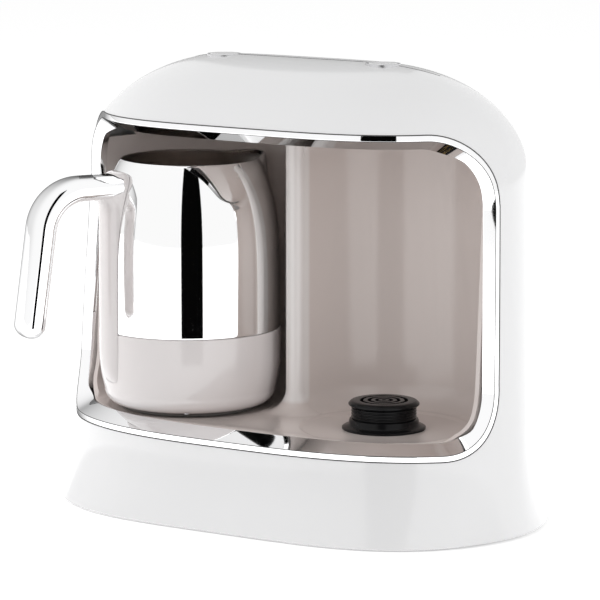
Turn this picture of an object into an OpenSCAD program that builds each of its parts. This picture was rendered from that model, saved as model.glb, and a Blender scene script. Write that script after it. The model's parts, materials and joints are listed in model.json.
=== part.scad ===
// Twin electric Turkish coffee maker: a two-bay housing with a cordless coupler in each bay,
// and one lift-off jug standing in the left bay.
// X is to the right, Y to the back, Z up. The origin is on the table, under the middle of the foot.

/* [Housing] */
// Width of the housing at its foot
foot_w = 266.8; // [260:0.2:274]
// Depth of the housing at its foot
foot_d = 162.6; // [158:0.2:168]
// Height of the crest of the top
top_z = 230.2; // [228:0.2:236]
// Width just above the flared foot
waist_w = 258; // [254:0.2:262]
// Depth just above the flared foot
waist_d = 137; // [135:0.2:141]
// Width under the domed top
shoulder_w = 245.6; // [243:0.2:250]
// Depth under the domed top
shoulder_d = 144.6; // [142:0.2:148]
// Height of the flared foot
flare_h = 45; // [40:1:50]
// Height where the domed top starts
dome_z = 173; // [170:1:176]
// How far the domed top draws in at each side
crown_r = 76; // [70:1:80]
// Wall of the moulded covers
wall = 2.4; // [2:0.1:3]
// Half width of the rear cover
rear_half_w = 84; // [78:1:90]

/* [Bays] */
// Distance from the middle to each bay's axis
bay_x = 58.4; // [57:0.2:59]
// Place of the bays' axes, front to back
bay_y = -14.8; // [-16:0.2:-13]
// Radius of each bay's round wall
bay_r = 54.2; // [53:0.2:54.6]
// Height of the bay floor
floor_z = 50; // [49:0.5:51]
// Height of the bay ceiling
ceiling_z = 194.5; // [194:0.5:196]
// Radius of the hollow where wall and floor meet
cove_r = 12; // [8:1:14]

/* [Trim frame] */
// Height of the trim's lower outer edge
trim_low_z = 42; // [41:0.5:44]
// Height of the trim's upper outer edge
trim_top_z = 201; // [200:0.5:203]
// Place of the side edges at the foot of the trim, front to back
trim_low_y = -18.2; // [-20:0.2:-16]
// Place of the side edges at the top of the trim, front to back
trim_top_y = -8.1; // [-10:0.2:-6]

/* [Jug] */
// Height of the jug's rim
rim_z = 177.6; // [174:0.2:179]
// Radius of the jug's rim
rim_r = 35.3; // [33:0.1:37]
// Largest radius of the jug
jug_r = 46.6; // [45:0.1:47]
// Height of the line between steel cup and plastic base
band_z = 90.5; // [86:0.5:94]
// Height of the jug's underside
jug_low_z = 51.2; // [50.8:0.1:52]
// Turn of the handle from straight ahead, towards the left
handle_turn = 28.6; // [20:0.2:36]
// How far the jug lifts to clear its coupler
jug_lift = 15; // [14.5:0.5:15]

/* [Handle] */
// Height of the handle's upper arm
arm_z = 165.5; // [162:0.5:168]
// Radius of the elbow's centreline
elbow_r = 22; // [20:0.5:24]
// Distance from the jug's axis to the start of the elbow
elbow_at = 62; // [60:0.5:64]
// Length of the hanging grip
grip_l = 49.5; // [44:0.5:54]
// Half width of the handle
grip_hw = 10; // [9:0.1:11]
// Half thickness of the handle
grip_ht = 6.2; // [5.6:0.1:7]

/* [Buttons] */
// Distance from the middle to each button
button_x = 47.4; // [45:0.2:50]
// Radius of the button's cap
button_r = 7.4; // [7:0.1:8]
// Travel of the button
button_travel = 1.6; // [1.2:0.1:1.8]

/* [Hidden] */

$fn = 72;
ring_n = 72;            // points round the housing
dome_n = 10;            // levels up the dome
shell_low_z = 1.5;      // lower edge of the covers, above the table
mid_z = 160;            // height at which shoulder_w and shoulder_d are given
waist_y = -2;           // middle of the waist section, front to back
shoulder_y = 1.5;       // middle of the shoulder section
foot_px = 3.8;          // squareness of the plan: foot, waist and shoulder
waist_px = 2.9;
shoulder_px = 3.7;
plan_qy = 1.8;          // roundness of the ends of the plan
seam = 0.5;             // visible gap between the covers

trim_ry = 27;           // rounded corners of the opening, seen from the side
trim_rz = 36;
trim_band = 3;          // trim section: outer band, then a slope into the opening
trim_slope = 5;
trim_depth = 8.5;
trim_wall = 1.5;
trim_proud = 0.4;
trim_inner = trim_band + trim_slope;
corner_n = 8;

liner_wall = 2.2;
column_r = 4.45;        // rounded front of the divider
column_y = -5.05;
dish_r = 41.5;          // shallow dish round each coupler
dish_depth = 1;

coupler_top_z = jug_low_z + jug_lift - 2.8;     // the lifted jug clears it by this much
coupler_cap_r = 17.8;
coupler_neck_r = 16.35;
coupler_flange_r = 21;
coupler_hole_r = 15;

button_y = 1.4;
button_top_z = top_z + 0.7;         // the caps stand just proud of their rings
collar_top_z = top_z + 0.5;
collar_r = 8.8;
button_gap = 0.15;

jug_wall = 0.8;
jug_base_wall = 2.2;
shoulder_start_z = 100; // the cup draws in above this height
cup_floor_z = 78;
socket_r = 19.6;        // inner radius of the socket over the coupler cap
socket_top_z = 70;
handle_gap = 0.15;

board_z = 20;
board_t = 1.6;

function lerp(a, b, t) = a + (b - a) * t;
function clamp01(t) = min(max(t, 0), 1);

// ---- the housing's outer form ------------------------------------------------------------
// Each height has a section |x/half_w|^px + |(y - mid_y)/half_d|^qy = 1.
function up(z) = (z - flare_h) / (mid_z - flare_h);
function flare(z) = z < flare_h ? pow(1 - z / flare_h, 2) : 0;
function straight(foot, waist, shoulder, z) =
    let(s = lerp(waist, shoulder, up(z)), s0 = lerp(waist, shoulder, up(0))) s + flare(z) * (foot - s0);
function dome(z, inset) =
    z <= dome_z ? 1 : sqrt(max(0, 1 - pow((z - dome_z) / (top_z - inset - dome_z), 2)));
function half_w(z, inset = 0) =
    straight(foot_w / 2, waist_w / 2, shoulder_w / 2, z) - crown_r * (1 - dome(z, inset)) - inset;
function half_d(z, inset = 0) =
    max(0.4, (straight(foot_d / 2, waist_d / 2, shoulder_d / 2, z) - inset) * dome(z, inset));
function mid_y(z) = straight(0, waist_y, shoulder_y, z);
function plan_px(z) = lerp(lerp(waist_px, shoulder_px, clamp01(up(z))), foot_px, flare(z));
function around(t, z, inset = 0) =
    let(c = cos(t), s = sin(t))
    [half_w(z, inset) * sign(c) * pow(abs(c), 2 / plan_px(z)),
     mid_y(z) + half_d(z, inset) * sign(s) * pow(abs(s), 2 / plan_qy), z];
function section(z, inset = 0) =
    [for (i = [0:ring_n - 1]) let(p = around(360 * i / ring_n, z, inset)) [p[0], p[1]]];
function levels(low, inset) =
    concat([low, 4, 9, 15, 22, 32, 45, 70, 100, 130, 155, dome_z],
           [for (k = [1:dome_n]) dome_z + (top_z - inset - dome_z) * sin(90 * k / dome_n)]);

// ---- sweeps and lofts --------------------------------------------------------------------
// rings holds rings with the same number of points, each anticlockwise when seen from the last
// ring's side. The two ends get flat caps, unless the rings make a closed loop.
module skin(rings, closed = false) {
    m = len(rings[0]);
    n = len(rings);
    last = closed ? n - 1 : n - 2;
    sides = [for (k = [0:last], i = [0:m - 1])
        let(a = k * m + i, b = k * m + (i + 1) % m,
            c = ((k + 1) % n) * m + (i + 1) % m, d = ((k + 1) % n) * m + i)
        each [[a, d, c], [a, c, b]]];
    caps = closed ? [] : [[for (i = [0:m - 1]) i], [for (i = [m - 1:-1:0]) (n - 1) * m + i]];
    polyhedron([for (r = rings) each r], concat(sides, caps));
}

// ---- the housing's covers ------------------------------------------------------------------
module housing_form(low, inset) {
    skin([for (z = levels(low, inset)) [for (i = [0:ring_n - 1]) around(360 * i / ring_n, z, inset)]]);
}

module hollow_form() {
    difference() {
        housing_form(shell_low_z, 0);
        housing_form(shell_low_z - 1, wall);
    }
}

// The opening's outline seen from the side: its two rounded corners, foot first.
function trim_y(z) = lerp(trim_low_y, trim_top_y, (z - trim_low_z) / (trim_top_z - trim_low_z));
function corner(low) =
    let(cz = low ? trim_low_z + trim_rz : trim_top_z - trim_rz, cy = trim_y(cz) - trim_ry)
    [for (k = [0:corner_n]) let(a = 90 * k / corner_n - (low ? 90 : 0))
        [cy + trim_ry * cos(a), cz + trim_rz * sin(a)]];

module opening_cutter() {
    rotate([90, 0, 90])
        linear_extrude(foot_w + 20, center = true)
            polygon(concat([[-foot_d, trim_low_z]], corner(true), corner(false), [[-foot_d, trim_top_z]]));
}

rear_low_z = 14;         // lower edge of the rear cover
rear_corner_r = 30;      // its rounded corners by the crest

// The rear cover's outline seen from above, from the crest of the top to the back.
module rear_zone(grow) {
    translate([0, 0, rear_low_z - grow])
        linear_extrude(top_z)
            offset(r = grow)
                hull() {
                    for (s = [-1, 1]) translate([s * (rear_half_w - rear_corner_r), button_y + rear_corner_r])
                        circle(rear_corner_r);
                    translate([-rear_half_w, foot_d / 2]) square([2 * rear_half_w, wall]);
                }
}

module button_holes() {
    for (s = [-1, 1])
        translate([s * button_x, button_y, top_z - 20]) cylinder(h = 40, r = collar_r + 0.1);
}

boss_spots = [for (sx = [-1, 1], sy = [-1, 1]) [sx * 112, sy * 30]];
boss_low_z = 5.5;        // the bosses stand just over the base plate
boss_h = 25;
boss_r = 4.5;
boss_hole_r = 1.7;
boss_rib = [14, 2];      // rib from each boss to the shell's wall: length, thickness

module front_shell() {
    color("white") resize([0, 0, 0]) {
        difference() {
            union() {
                hollow_form();
                intersection() {
                    housing_form(shell_low_z, 1);
                    for (p = boss_spots) {
                        translate([p[0], p[1], boss_low_z]) cylinder(h = boss_h, r = boss_r);
                        translate([p[0] + (p[0] > 0 ? 0 : -boss_rib[0]), p[1] - boss_rib[1] / 2, boss_low_z])
                            cube([boss_rib[0], boss_rib[1], boss_h]);
                    }
                }
            }
            opening_cutter();
            rear_zone(seam / 2);
            button_holes();
            for (p = boss_spots) translate([p[0], p[1], boss_low_z - 0.5]) cylinder(h = 20, r = boss_hole_r);
        }
    }
}

rear_screw_z = [62, 168];
gland_x = 55;
gland_z = 27;
gland_boss = 2.9;       // flat boss under the cord gland's flange: height, radius
gland_boss_r = 10.4;
gland_r = 7;            // the gland's neck and flange
gland_flange_r = 9.4;
rear_head_depth = 1.1;  // how deep the rear screws' heads sit in the cover
rear_head_r = 3;
rear_hole_r = 1.8;
function back_y(x, z) = mid_y(z) + half_d(z) * pow(1 - pow(abs(x) / half_w(z), plan_px(z)), 1 / plan_qy);
gland_y = back_y(gland_x, gland_z);

module rear_cover() {
    color("white") resize([0, 0, 0]) {
        difference() {
            union() {
                intersection() {
                    hollow_form();
                    rear_zone(-seam / 2);
                }
                translate([gland_x, gland_y - wall, gland_z]) rotate([-90, 0, 0])
                    cylinder(h = wall + gland_boss, r = gland_boss_r);
            }
            button_holes();
            for (s = [-1, 1], z = rear_screw_z) translate([s * bay_x, back_y(bay_x, z), z]) {
                rotate([90, 0, 0]) cylinder(h = 20, r = rear_hole_r, center = true);
                translate([0, -rear_head_depth, 0]) rotate([-90, 0, 0]) cylinder(h = 9, r = rear_head_r);
            }
            translate([gland_x, 0, gland_z]) rotate([-90, 0, 0]) cylinder(h = foot_d, r = gland_r + 0.1);
            translate([gland_x, gland_y + gland_boss, gland_z]) rotate([-90, 0, 0])
                cylinder(h = 9, r = gland_boss_r);
        }
    }
}

// ---- the chrome trim round the opening --------------------------------------------------------
// A point on the housing's front is given by its angle t from the right side and its height.
function front_t(y, z) = asin(pow(clamp01((mid_y(z) - y) / half_d(z)), plan_qy / 2));
trim_right = let(
    low = corner(true),
    high = corner(false),
    t_low = front_t(low[0][0], trim_low_z),
    t_high = front_t(high[corner_n][0], trim_top_z),
    z_low = low[corner_n][1],
    z_high = high[0][1])
    concat([for (k = [0:11]) [lerp(90, t_low, k / 12), trim_low_z]],
           [for (p = low) [front_t(p[0], p[1]), p[1]]],
           [for (k = [1:7]) let(z = lerp(z_low, z_high, k / 8)) [front_t(trim_y(z), z), z]],
           [for (p = high) [front_t(p[0], p[1]), p[1]]],
           [for (k = [1:12]) [lerp(t_high, 90, k / 12), trim_top_z]]);
trim_n = len(trim_right);
function on_front(q, side) = let(p = around(-q[0], q[1])) [side * p[0], p[1], p[2]];
function outward(q, side) =
    let(p = around(-q[0], q[1]), z = q[1], px = plan_px(z),
        gx = px * pow(abs(p[0]) / half_w(z), px - 1) / half_w(z),
        gy = plan_qy * pow(abs(p[1] - mid_y(z)) / half_d(z), plan_qy - 1) / half_d(z))
    [side * gx, -gy, 0] / norm([gx, gy]);
trim_path = concat([for (q = trim_right) [on_front(q, 1), outward(q, 1)]],
                   [for (k = [trim_n - 2:-1:1]) [on_front(trim_right[k], -1), outward(trim_right[k], -1)]]);

// Trim section: [into the opening, out of the front].
trim_section = [[1.4, -trim_wall], [trim_band - 0.9, -trim_wall],
                [trim_inner - trim_wall, -trim_depth], [trim_inner, -trim_depth],
                [trim_band, trim_proud], [0.1, 0.1]];

module trim_frame() {
    n = len(trim_path);
    color("silver")
        skin([for (k = [0:n - 1])
            let(p = trim_path[k][0], out = trim_path[k][1],
                along = trim_path[(k + 1) % n][0] - trim_path[(k + n - 1) % n][0],
                inward = cross(out, along) / norm(cross(out, along)))
            [for (s = trim_section) p + s[0] * inward + s[1] * out]], closed = true);
}

// ---- the liner of the two bays --------------------------------------------------------------
function arc_points(cx, cy, r, a0, a1, n = 6) =
    [for (k = [0:n]) let(a = lerp(a0, a1, k / n)) [cx + r * cos(a), cy + r * sin(a)]];
function ellipse_arc(cx, cy, rx, ry, a0, a1) =
    [for (k = [0:6]) let(a = lerp(a0, a1, k / 6)) [cx + rx * cos(a), cy + ry * sin(a)]];
liner_front_inset = trim_depth + 0.3;
liner_edge_x = bay_x + bay_r;
lip_r = 14;             // hollow where the bay's wall and ceiling meet
front_low_r = [10.6, floor_z + 28];      // the liner's front corners: width, height of their centre
front_high_r = [17.6, ceiling_z - 29.5];

// The two bays, each a solid of revolution.
function bay_profile(at, grow) = concat(
    arc_points(at + bay_r - cove_r, floor_z + cove_r, cove_r + grow, -90, 0),
    arc_points(at + bay_r - lip_r, ceiling_z - lip_r, lip_r + grow, 0, 90));
function mirrored(half) = concat(half, [for (k = [len(half) - 1:-1:0]) [-half[k][0], half[k][1]]]);

module bays(grow) {
    for (s = [-1, 1]) translate([s * bay_x, bay_y, 0]) rotate_extrude()
        polygon(concat([[0, floor_z - grow]], bay_profile(0, grow), [[0, ceiling_z + grow]]));
}

// The room in front of the bays, seen from the front.
module front_outline(grow) {
    w = liner_edge_x;
    low = front_low_r;
    high = front_high_r;
    polygon(mirrored(concat(
        ellipse_arc(w - low[0], low[1], low[0] + grow, low[1] - floor_z + grow, -90, 0),
        ellipse_arc(w - high[0], high[1], high[0] + grow, ceiling_z - high[1] + grow, 0, 90))));
}

// The open side of the room, seen from the right; the liner's edge stands just behind the trim.
module liner_open_side() {
    low = [trim_y(front_low_r[1]) - 21, 19];
    high = [trim_y(front_high_r[1]) - 23, 21];
    rotate([90, 0, 90]) linear_extrude(foot_w, center = true) polygon(concat(
        [[-foot_d, floor_z]], ellipse_arc(low[0], front_low_r[1], low[1], front_low_r[1] - floor_z, -90, 0),
        ellipse_arc(high[0], front_high_r[1], high[1], ceiling_z - front_high_r[1], 0, 90),
        [[-foot_d, ceiling_z]]));
}

// Heights between which the liner's front is cut back in a different way, to clear the trim.
edge_low_z = 52;
edge_high_z = 184;
edge_top_z = 193.2;

// The walls in front of the bays from one height to the next, kept inside an outline seen from above.
module front_band(low, high, outline) {
    intersection() {
        translate([0, bay_y + 0.5, 0]) rotate([90, 0, 0]) linear_extrude(32) front_outline(liner_wall);
        translate([0, 0, low]) linear_extrude(high - low + 0.01) polygon(outline);
    }
}

module ahead_of_bays(y) {
    translate([-foot_w, y - foot_d, 0]) cube([2 * foot_w, foot_d, top_z]);
}

button_board_t = 1.6;
board_top_z = 208.6;     // top of the button boards
board_under_z = board_top_z - button_board_t;
button_post = [12, 18];  // from the button's axis to its board's posts
liner_posts = [[-88, -39], [88, -39], [-97, 10], [97, 10]];
post_r = 4;              // the liner's posts; the slimmer ones carry circuit boards
board_post_r = 3;
thread_r = 1.2;          // pilot holes for the screws in the posts

module bay_liner() {
    color([0.69, 0.65, 0.63]) difference() {
        union() {
            difference() {
                bays(liner_wall);
                ahead_of_bays(bay_y);
                bays(0);
            }
            front_band(floor_z - liner_wall - 1, edge_low_z, section(floor_z, liner_front_inset));
            front_band(edge_low_z, edge_high_z, section(floor_z, 0));
            front_band(edge_high_z, edge_top_z, section(ceiling_z + liner_wall, 5));
            front_band(edge_top_z, top_z, section(trim_top_z, liner_front_inset));
            translate([0, bay_y + 0.5, 0]) rotate([90, 0, 0])
                linear_extrude(0.9) polygon(mirrored(bay_profile(bay_x, liner_wall)));
            for (end = [[floor_z - liner_wall, floor_z], [ceiling_z, trim_top_z]]) {
                intersection() {
                    translate([0, 0, end[0]]) linear_extrude(liner_wall)
                        polygon(section(end[1], liner_front_inset));
                    ahead_of_bays(bay_y + 0.5);
                }
                translate([-20, bay_y, end[0]]) cube([40, column_y + 4 - bay_y, liner_wall]);
            }
            for (s = [-1, 1], z = rear_screw_z) translate([s * bay_x, bay_y + bay_r + 1, z])
                rotate([-90, 0, 0]) cylinder(h = back_y(bay_x, z) - wall - 2.4 - bay_y - bay_r, r = post_r);
            for (s = [-1, 1], d = [-1, 1])
                translate([s * button_x + d * button_post[0], button_y + button_post[1], ceiling_z + 1])
                    cylinder(h = board_under_z - ceiling_z - 1.1, r = board_post_r);
            for (p = liner_posts) translate([p[0], p[1], 36]) cylinder(h = floor_z - 37, r = post_r);
        }
        translate([0, bay_y + 1, 0]) rotate([90, 0, 0]) linear_extrude(foot_d) front_outline(0);
        translate([-20, -foot_d, floor_z]) cube([40, foot_d + column_y, ceiling_z - floor_z]);
        liner_open_side();
        for (s = [-1, 1]) translate([s * bay_x, bay_y, 0]) {
            translate([0, 0, floor_z - dish_depth])
                cylinder(h = dish_depth + 1, r1 = dish_r - 1.5, r2 = dish_r + 1.5);
            translate([0, 0, floor_z - 10]) cylinder(h = 20, r = coupler_hole_r);
        }
        for (s = [-1, 1], z = rear_screw_z) translate([s * bay_x, bay_y + bay_r + 8, z])
            rotate([-90, 0, 0]) cylinder(h = 40, r = thread_r);
        for (p = liner_posts) translate([p[0], p[1], 30]) cylinder(h = 15, r = thread_r);
    }
    color([0.83, 0.80, 0.79]) difference() {
        translate([0, column_y, 0]) rotate_extrude()
            polygon(concat([[0, floor_z - 0.5], [column_r + cove_r, floor_z - 0.5]],
                           arc_points(column_r + cove_r, floor_z + cove_r, cove_r, 270, 180),
                           [[column_r, ceiling_z + 0.5], [0, ceiling_z + 0.5]]));
        translate([-30, column_y + 3, 0]) cube([60, 40, 300]);
    }
}

// ---- foot ------------------------------------------------------------------------------------
foot_spots = [[0, 0], [-98, -46], [98, -46], [-98, 46], [98, 46]];
foot_r = 9;
plate_z = 2.5;
plate_t = 2.5;

module base_plate() {
    post_top = 35.6;
    color("whitesmoke") difference() {
        union() {
            translate([0, 0, plate_z]) linear_extrude(plate_t)
                polygon(section(plate_z + plate_t, wall + 0.5));
            for (p = liner_posts) translate([p[0], p[1], plate_z])
                cylinder(h = post_top - plate_z, r = post_r);
            for (p = board_spots) translate([p[0], p[1], plate_z])
                cylinder(h = board_z - plate_z, r = board_post_r);
        }
        for (p = liner_posts) translate([p[0], p[1], 0]) {
            cylinder(h = post_top + 1, r = 1.8);
            cylinder(h = post_top - 4, r = 3);
        }
        for (p = board_spots) translate([p[0], p[1], plate_z + plate_t]) cylinder(h = board_z, r = 1.1);
        for (p = boss_spots) translate([p[0], p[1], 0]) cylinder(h = 20, r = 1.8);
        for (p = foot_spots) translate([p[0], p[1], 0]) cylinder(h = 20, r = 3.1);
    }
}

module rubber_feet() {
    color([0.2, 0.2, 0.2])
        for (p = foot_spots) translate([p[0], p[1], 0]) {
            cylinder(h = plate_z - 0.05, r = foot_r);
            cylinder(h = plate_z + plate_t + 0.1, r = 2.9);
            translate([0, 0, plate_z + plate_t + 0.05]) cylinder(h = 1.2, r = 4);
        }
}

module screw(length, r = 1.5, head_r = 2.8, head_h = 1.8) {
    difference() {
        union() {
            cylinder(h = length, r = r);
            translate([0, 0, -head_h]) cylinder(h = head_h, r = head_r);
        }
        translate([0, 0, -head_h - 1]) cylinder(h = 1 + 0.6 * head_h, r = 0.45 * head_r);
    }
}

module base_screws() {
    color("silver") for (p = boss_spots) translate([p[0], p[1], plate_z]) screw(20);
}

module liner_screws() {
    color("silver") for (p = liner_posts) translate([p[0], p[1], 31.6]) screw(11, r = 1.1);
}

module rear_screws() {
    color("silver") for (s = [-1, 1], z = rear_screw_z)
        translate([s * bay_x, back_y(bay_x, z) - rear_head_depth + 0.05, z]) rotate([90, 0, 0])
            screw(9, r = 1.1, head_h = 1.6);
}

// ---- couplers in the bays --------------------------------------------------------------------
// Grooves for the jug's contact rings: [inner radius, outer radius].
grooves = [[2.9, 4.5], [6.6, 8.2], [10.4, 12]];
groove_low_z = 57;
coupler_low_z = 33;

module coupler(side) {
    color([0.1, 0.1, 0.1]) translate([side * bay_x, bay_y, 0]) difference() {
        rotate_extrude() polygon([
            [0, coupler_low_z], [coupler_hole_r - 0.3, coupler_low_z],
            [coupler_hole_r - 0.3, floor_z - dish_depth], [coupler_flange_r, floor_z - dish_depth],
            [coupler_flange_r, 50], [coupler_neck_r + 1.2, 51.6], [coupler_neck_r + 1.2, 54],
            [coupler_neck_r, 54.6], [coupler_neck_r, 60.4], [coupler_cap_r, 61.2],
            [coupler_cap_r, 62], [coupler_cap_r - 1.8, coupler_top_z], [0, coupler_top_z]]);
        for (g = grooves) translate([0, 0, groove_low_z]) difference() {
            cylinder(h = 20, r = g[1]);
            translate([0, 0, -1]) cylinder(h = 22, r = g[0]);
        }
        translate([0, 0, coupler_top_z - 1]) cylinder(h = 2, r = 1.2);
    }
}

module coupler_rings(side) {
    color([0.8, 0.65, 0.3]) translate([side * bay_x, bay_y, groove_low_z]) for (g = grooves) difference() {
        cylinder(h = 1.2, r = g[1] - 0.1);
        translate([0, 0, -1]) cylinder(h = 4, r = g[0] + 0.1);
    }
}

module left_coupler() { coupler(-1); }
module right_coupler() { coupler(1); }
module left_coupler_rings() { coupler_rings(-1); }
module right_coupler_rings() { coupler_rings(1); }

// ---- push buttons ------------------------------------------------------------------------------
collar_low_z = 219;
flange_top_z = collar_low_z - 0.1;
flange_low_z = flange_top_z - 1.6;

module at_button(side) {
    translate([side * button_x, button_y, 0]) children();
}

module button_cap(side) {
    color("white") at_button(side) {
        rotate_extrude() polygon([
            [0, flange_low_z], [9.3, flange_low_z], [9.3, flange_top_z], [button_r, flange_top_z],
            [button_r, button_top_z - 0.8], [button_r - 0.25, button_top_z - 0.25],
            [button_r - 0.8, button_top_z], [0, button_top_z]]);
        translate([0, 0, flange_low_z - 3.6]) cylinder(h = 4, r = 1.6);
    }
}

module button_collar(side) {
    low = collar_low_z;
    color("silver") at_button(side) rotate_extrude() polygon([
        [button_r + button_gap, low], [10.5, low], [10.5, low + 1.2], [collar_r, low + 1.2],
        [collar_r, collar_top_z - 0.3], [collar_r - 0.3, collar_top_z],
        [button_r + button_gap, collar_top_z]]);
}

module button_spring(side) {
    color("silver") at_button(side) translate([0, 0, board_top_z + 0.05]) difference() {
        cylinder(h = flange_low_z - button_travel - board_top_z - 0.3, r = 4.8);
        translate([0, 0, -1]) cylinder(h = 20, r = 4);
    }
}

module button_board(side) {
    switch_top_z = flange_low_z - 3.6 - button_travel - 0.2;
    color("seagreen") at_button(side) {
        difference() {
            translate([-16, -8, board_under_z]) cube([32, 30, button_board_t]);
            for (d = [-1, 1]) translate([d * button_post[0], button_post[1], 200]) cylinder(h = 20, r = 1.6);
        }
        translate([-2.7, -2.7, board_top_z]) cube([5.4, 5.4, switch_top_z - board_top_z]);
    }
}

module left_button_cap() { button_cap(-1); }
module right_button_cap() { button_cap(1); }
module left_button_collar() { button_collar(-1); }
module right_button_collar() { button_collar(1); }
module left_button_spring() { button_spring(-1); }
module right_button_spring() { button_spring(1); }
module left_button_board() { button_board(-1); }
module right_button_board() { button_board(1); }

// ---- electrics in the foot ------------------------------------------------------------------
board_spots = [for (sx = [-1, 1], y = [6, 54]) [sx * 34, y]];
board_top = board_z + board_t;

module control_board() {
    color("darkgreen") difference() {
        translate([-38, 2, board_z]) cube([76, 56, board_t]);
        for (p = board_spots) translate([p[0], p[1], 0]) cylinder(h = 40, r = 1.6);
    }
}

module relays() {
    color("royalblue") for (x = [-27, -9]) translate([x, 10, board_top]) cube([15, 19, 15.5]);
}

module transformer() {
    color("goldenrod") translate([10, 9, board_top]) {
        cube([22, 18, 14]);
        translate([4, 2, 14]) cube([14, 14, 3]);
    }
}

module heat_sink() {
    color("lightgray") translate([-24, 36, board_top]) {
        cube([40, 14, 2]);
        for (k = [0:6]) translate([k * 38 / 6, 0, 0]) cube([2, 14, 16]);
    }
}

module buzzer() {
    color([0.15, 0.15, 0.15]) translate([25, 42, board_top]) difference() {
        cylinder(h = 8, r = 6);
        translate([0, 0, 6]) cylinder(h = 4, r = 1.5);
    }
}

module board_screws() {
    color("silver") for (p = board_spots)
        translate([p[0], p[1], board_top]) rotate([180, 0, 0]) screw(8, r = 1);
}

module terminal_block() {
    color("whitesmoke") translate([50, 34, plate_z + plate_t]) difference() {
        cube([26, 14, 13]);
        for (k = [0:2]) translate([5 + 8 * k, 7, 8]) cylinder(h = 6, r = 2.2);
    }
}

cord_r = 3.6;

module cord_gland() {
    f = gland_boss + 0.1;
    color([0.15, 0.15, 0.15]) translate([gland_x, gland_y, gland_z]) rotate([-90, 0, 0])
        rotate_extrude() polygon([[cord_r, -9], [gland_r, -9], [gland_r, f], [gland_flange_r, f],
            [gland_flange_r, f + 1.4], [gland_flange_r - 2, f + 3], [cord_r, f + 3]]);
}

// ---- jug: steel cup on a plastic base ---------------------------------------------------------
function cup_r(z) = z < shoulder_start_z ? jug_r :
    jug_r - (jug_r - rim_r) * pow((z - shoulder_start_z) / (rim_z - shoulder_start_z), 4);
cup_zs = concat([for (z = [band_z + 0.6, shoulder_start_z]) z],
                [for (k = [1:14]) lerp(shoulder_start_z, rim_z - 1, sin(90 * k / 14))]);
cup_foot_r = jug_r - jug_base_wall - 0.9;

module in_jug() {
    translate([-bay_x, bay_y, 0]) children();
}

// +X in this frame points along the handle.
module on_handle() {
    in_jug() rotate([0, 0, -90 - handle_turn]) children();
}

lip_out = 6.5;          // how far the pouring lip reaches past the rim

module lip_form(inset) {
    hull() {
        for (a = [-26, 26]) rotate([0, 0, 180 + a]) translate([rim_r - 2.6, 0, rim_z - 1.2 + inset])
            cylinder(h = 1.4, r = 2.4 - inset);
        translate([-rim_r - lip_out + 2.4, 0, rim_z + 0.4 + inset]) cylinder(h = 1.6, r = 2.4 - inset);
        translate([-cup_r(rim_z - 16) + 4, 0, rim_z - 16]) sphere(r = 3.6 - inset, $fn = 24);
    }
}

module jug_cup() {
    outer = concat([[0, cup_floor_z - 1], [cup_foot_r - 4, cup_floor_z - 1]],
                   arc_points(cup_foot_r - 4, cup_floor_z + 3, 4, -90, 0),
                   [[cup_foot_r, band_z + 0.1], [jug_r - 0.4, band_z + 0.1]],
                   [for (z = cup_zs) [cup_r(z), z]],
                   arc_points(rim_r - 0.1, rim_z - 0.6, 0.6, 0, 180));
    inner = concat([for (k = [len(cup_zs) - 1:-1:1]) [cup_r(cup_zs[k]) - jug_wall, cup_zs[k]]],
                   [[jug_r - jug_wall, band_z + 1.4], [jug_r - jug_wall - 0.4, band_z + 0.9],
                    [cup_foot_r - jug_wall, band_z + 0.9]],
                   arc_points(cup_foot_r - 4, cup_floor_z + 3, 4 - jug_wall, 0, -90),
                   [[0, cup_floor_z - 0.2]]);
    color("silver") on_handle() {
        difference() {
            union() {
                rotate_extrude() polygon(concat(outer, inner));
                difference() {
                    lip_form(0);
                    rotate_extrude() polygon(concat([[0, rim_z - 60]], [for (z = cup_zs) if (z > rim_z - 60)
                        [cup_r(z) - jug_wall / 2, z]], [[rim_r, rim_z + 9], [0, rim_z + 9]]));
                }
            }
            lip_form(jug_wall);
            translate([-rim_r - 20, -20, rim_z + 1.6]) cube([40, 40, 10]);
        }
    }
}

module cup_seal() {
    color([0.75, 0.75, 0.75]) on_handle() translate([0, 0, band_z - 7]) difference() {
        cylinder(h = 4, r = jug_r - jug_base_wall - 0.05);
        translate([0, 0, -1]) cylinder(h = 6, r = cup_foot_r + 0.05);
    }
}

base_edge_r = 8;        // rounding of the jug's lower edge
function jug_base_r(z) = let(low = jug_low_z + base_edge_r)
    z > 78 ? jug_r + 0.1 : jug_r + 0.1 - 2.5 * pow((78 - z) / (78 - low), 2);
jug_base_zs = [for (k = [0:8]) lerp(jug_low_z + base_edge_r, band_z, k / 8)];
base_hole_r = 36;
base_ledge_z = jug_low_z + 4.3;     // ledge inside the base that carries its cover
column_seat_r = jug_r - 1.2;        // the handle's column sits in a notch of this depth
column_hw = grip_hw;

module jug_base_shell() {
    low = jug_low_z + base_edge_r;
    r_low = jug_base_r(low);
    color([0.9, 0.88, 0.87]) on_handle() difference() {
        rotate_extrude() polygon(concat(
            [[base_hole_r, jug_low_z]], arc_points(r_low - base_edge_r, low, base_edge_r, -90, 0),
            [for (z = jug_base_zs) [jug_base_r(z), z]],
            [for (k = [8:-1:0]) [jug_base_r(jug_base_zs[k]) - jug_base_wall, jug_base_zs[k]]],
            [[r_low - jug_base_wall, base_ledge_z], [base_hole_r, base_ledge_z]]));
        difference() {
            translate([jug_r - 8, 0, 0]) rotate([90, 0, 90]) linear_extrude(20) polygon(mirrored(
                [for (z = column_zs) if (z < band_z + 12) [column_width(z) + handle_gap, z - handle_gap]]));
            cylinder(h = band_z + 10, r = column_seat_r);
        }
        translate([40, 0, foot_screw_z]) rotate([0, 90, 0]) cylinder(h = 8, r = 1.3);
        for (a = cover_screw_turns) rotate([0, 0, a]) translate([38.6, 0, 40]) cylinder(h = 30, r = 1.5);
    }
}

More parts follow.
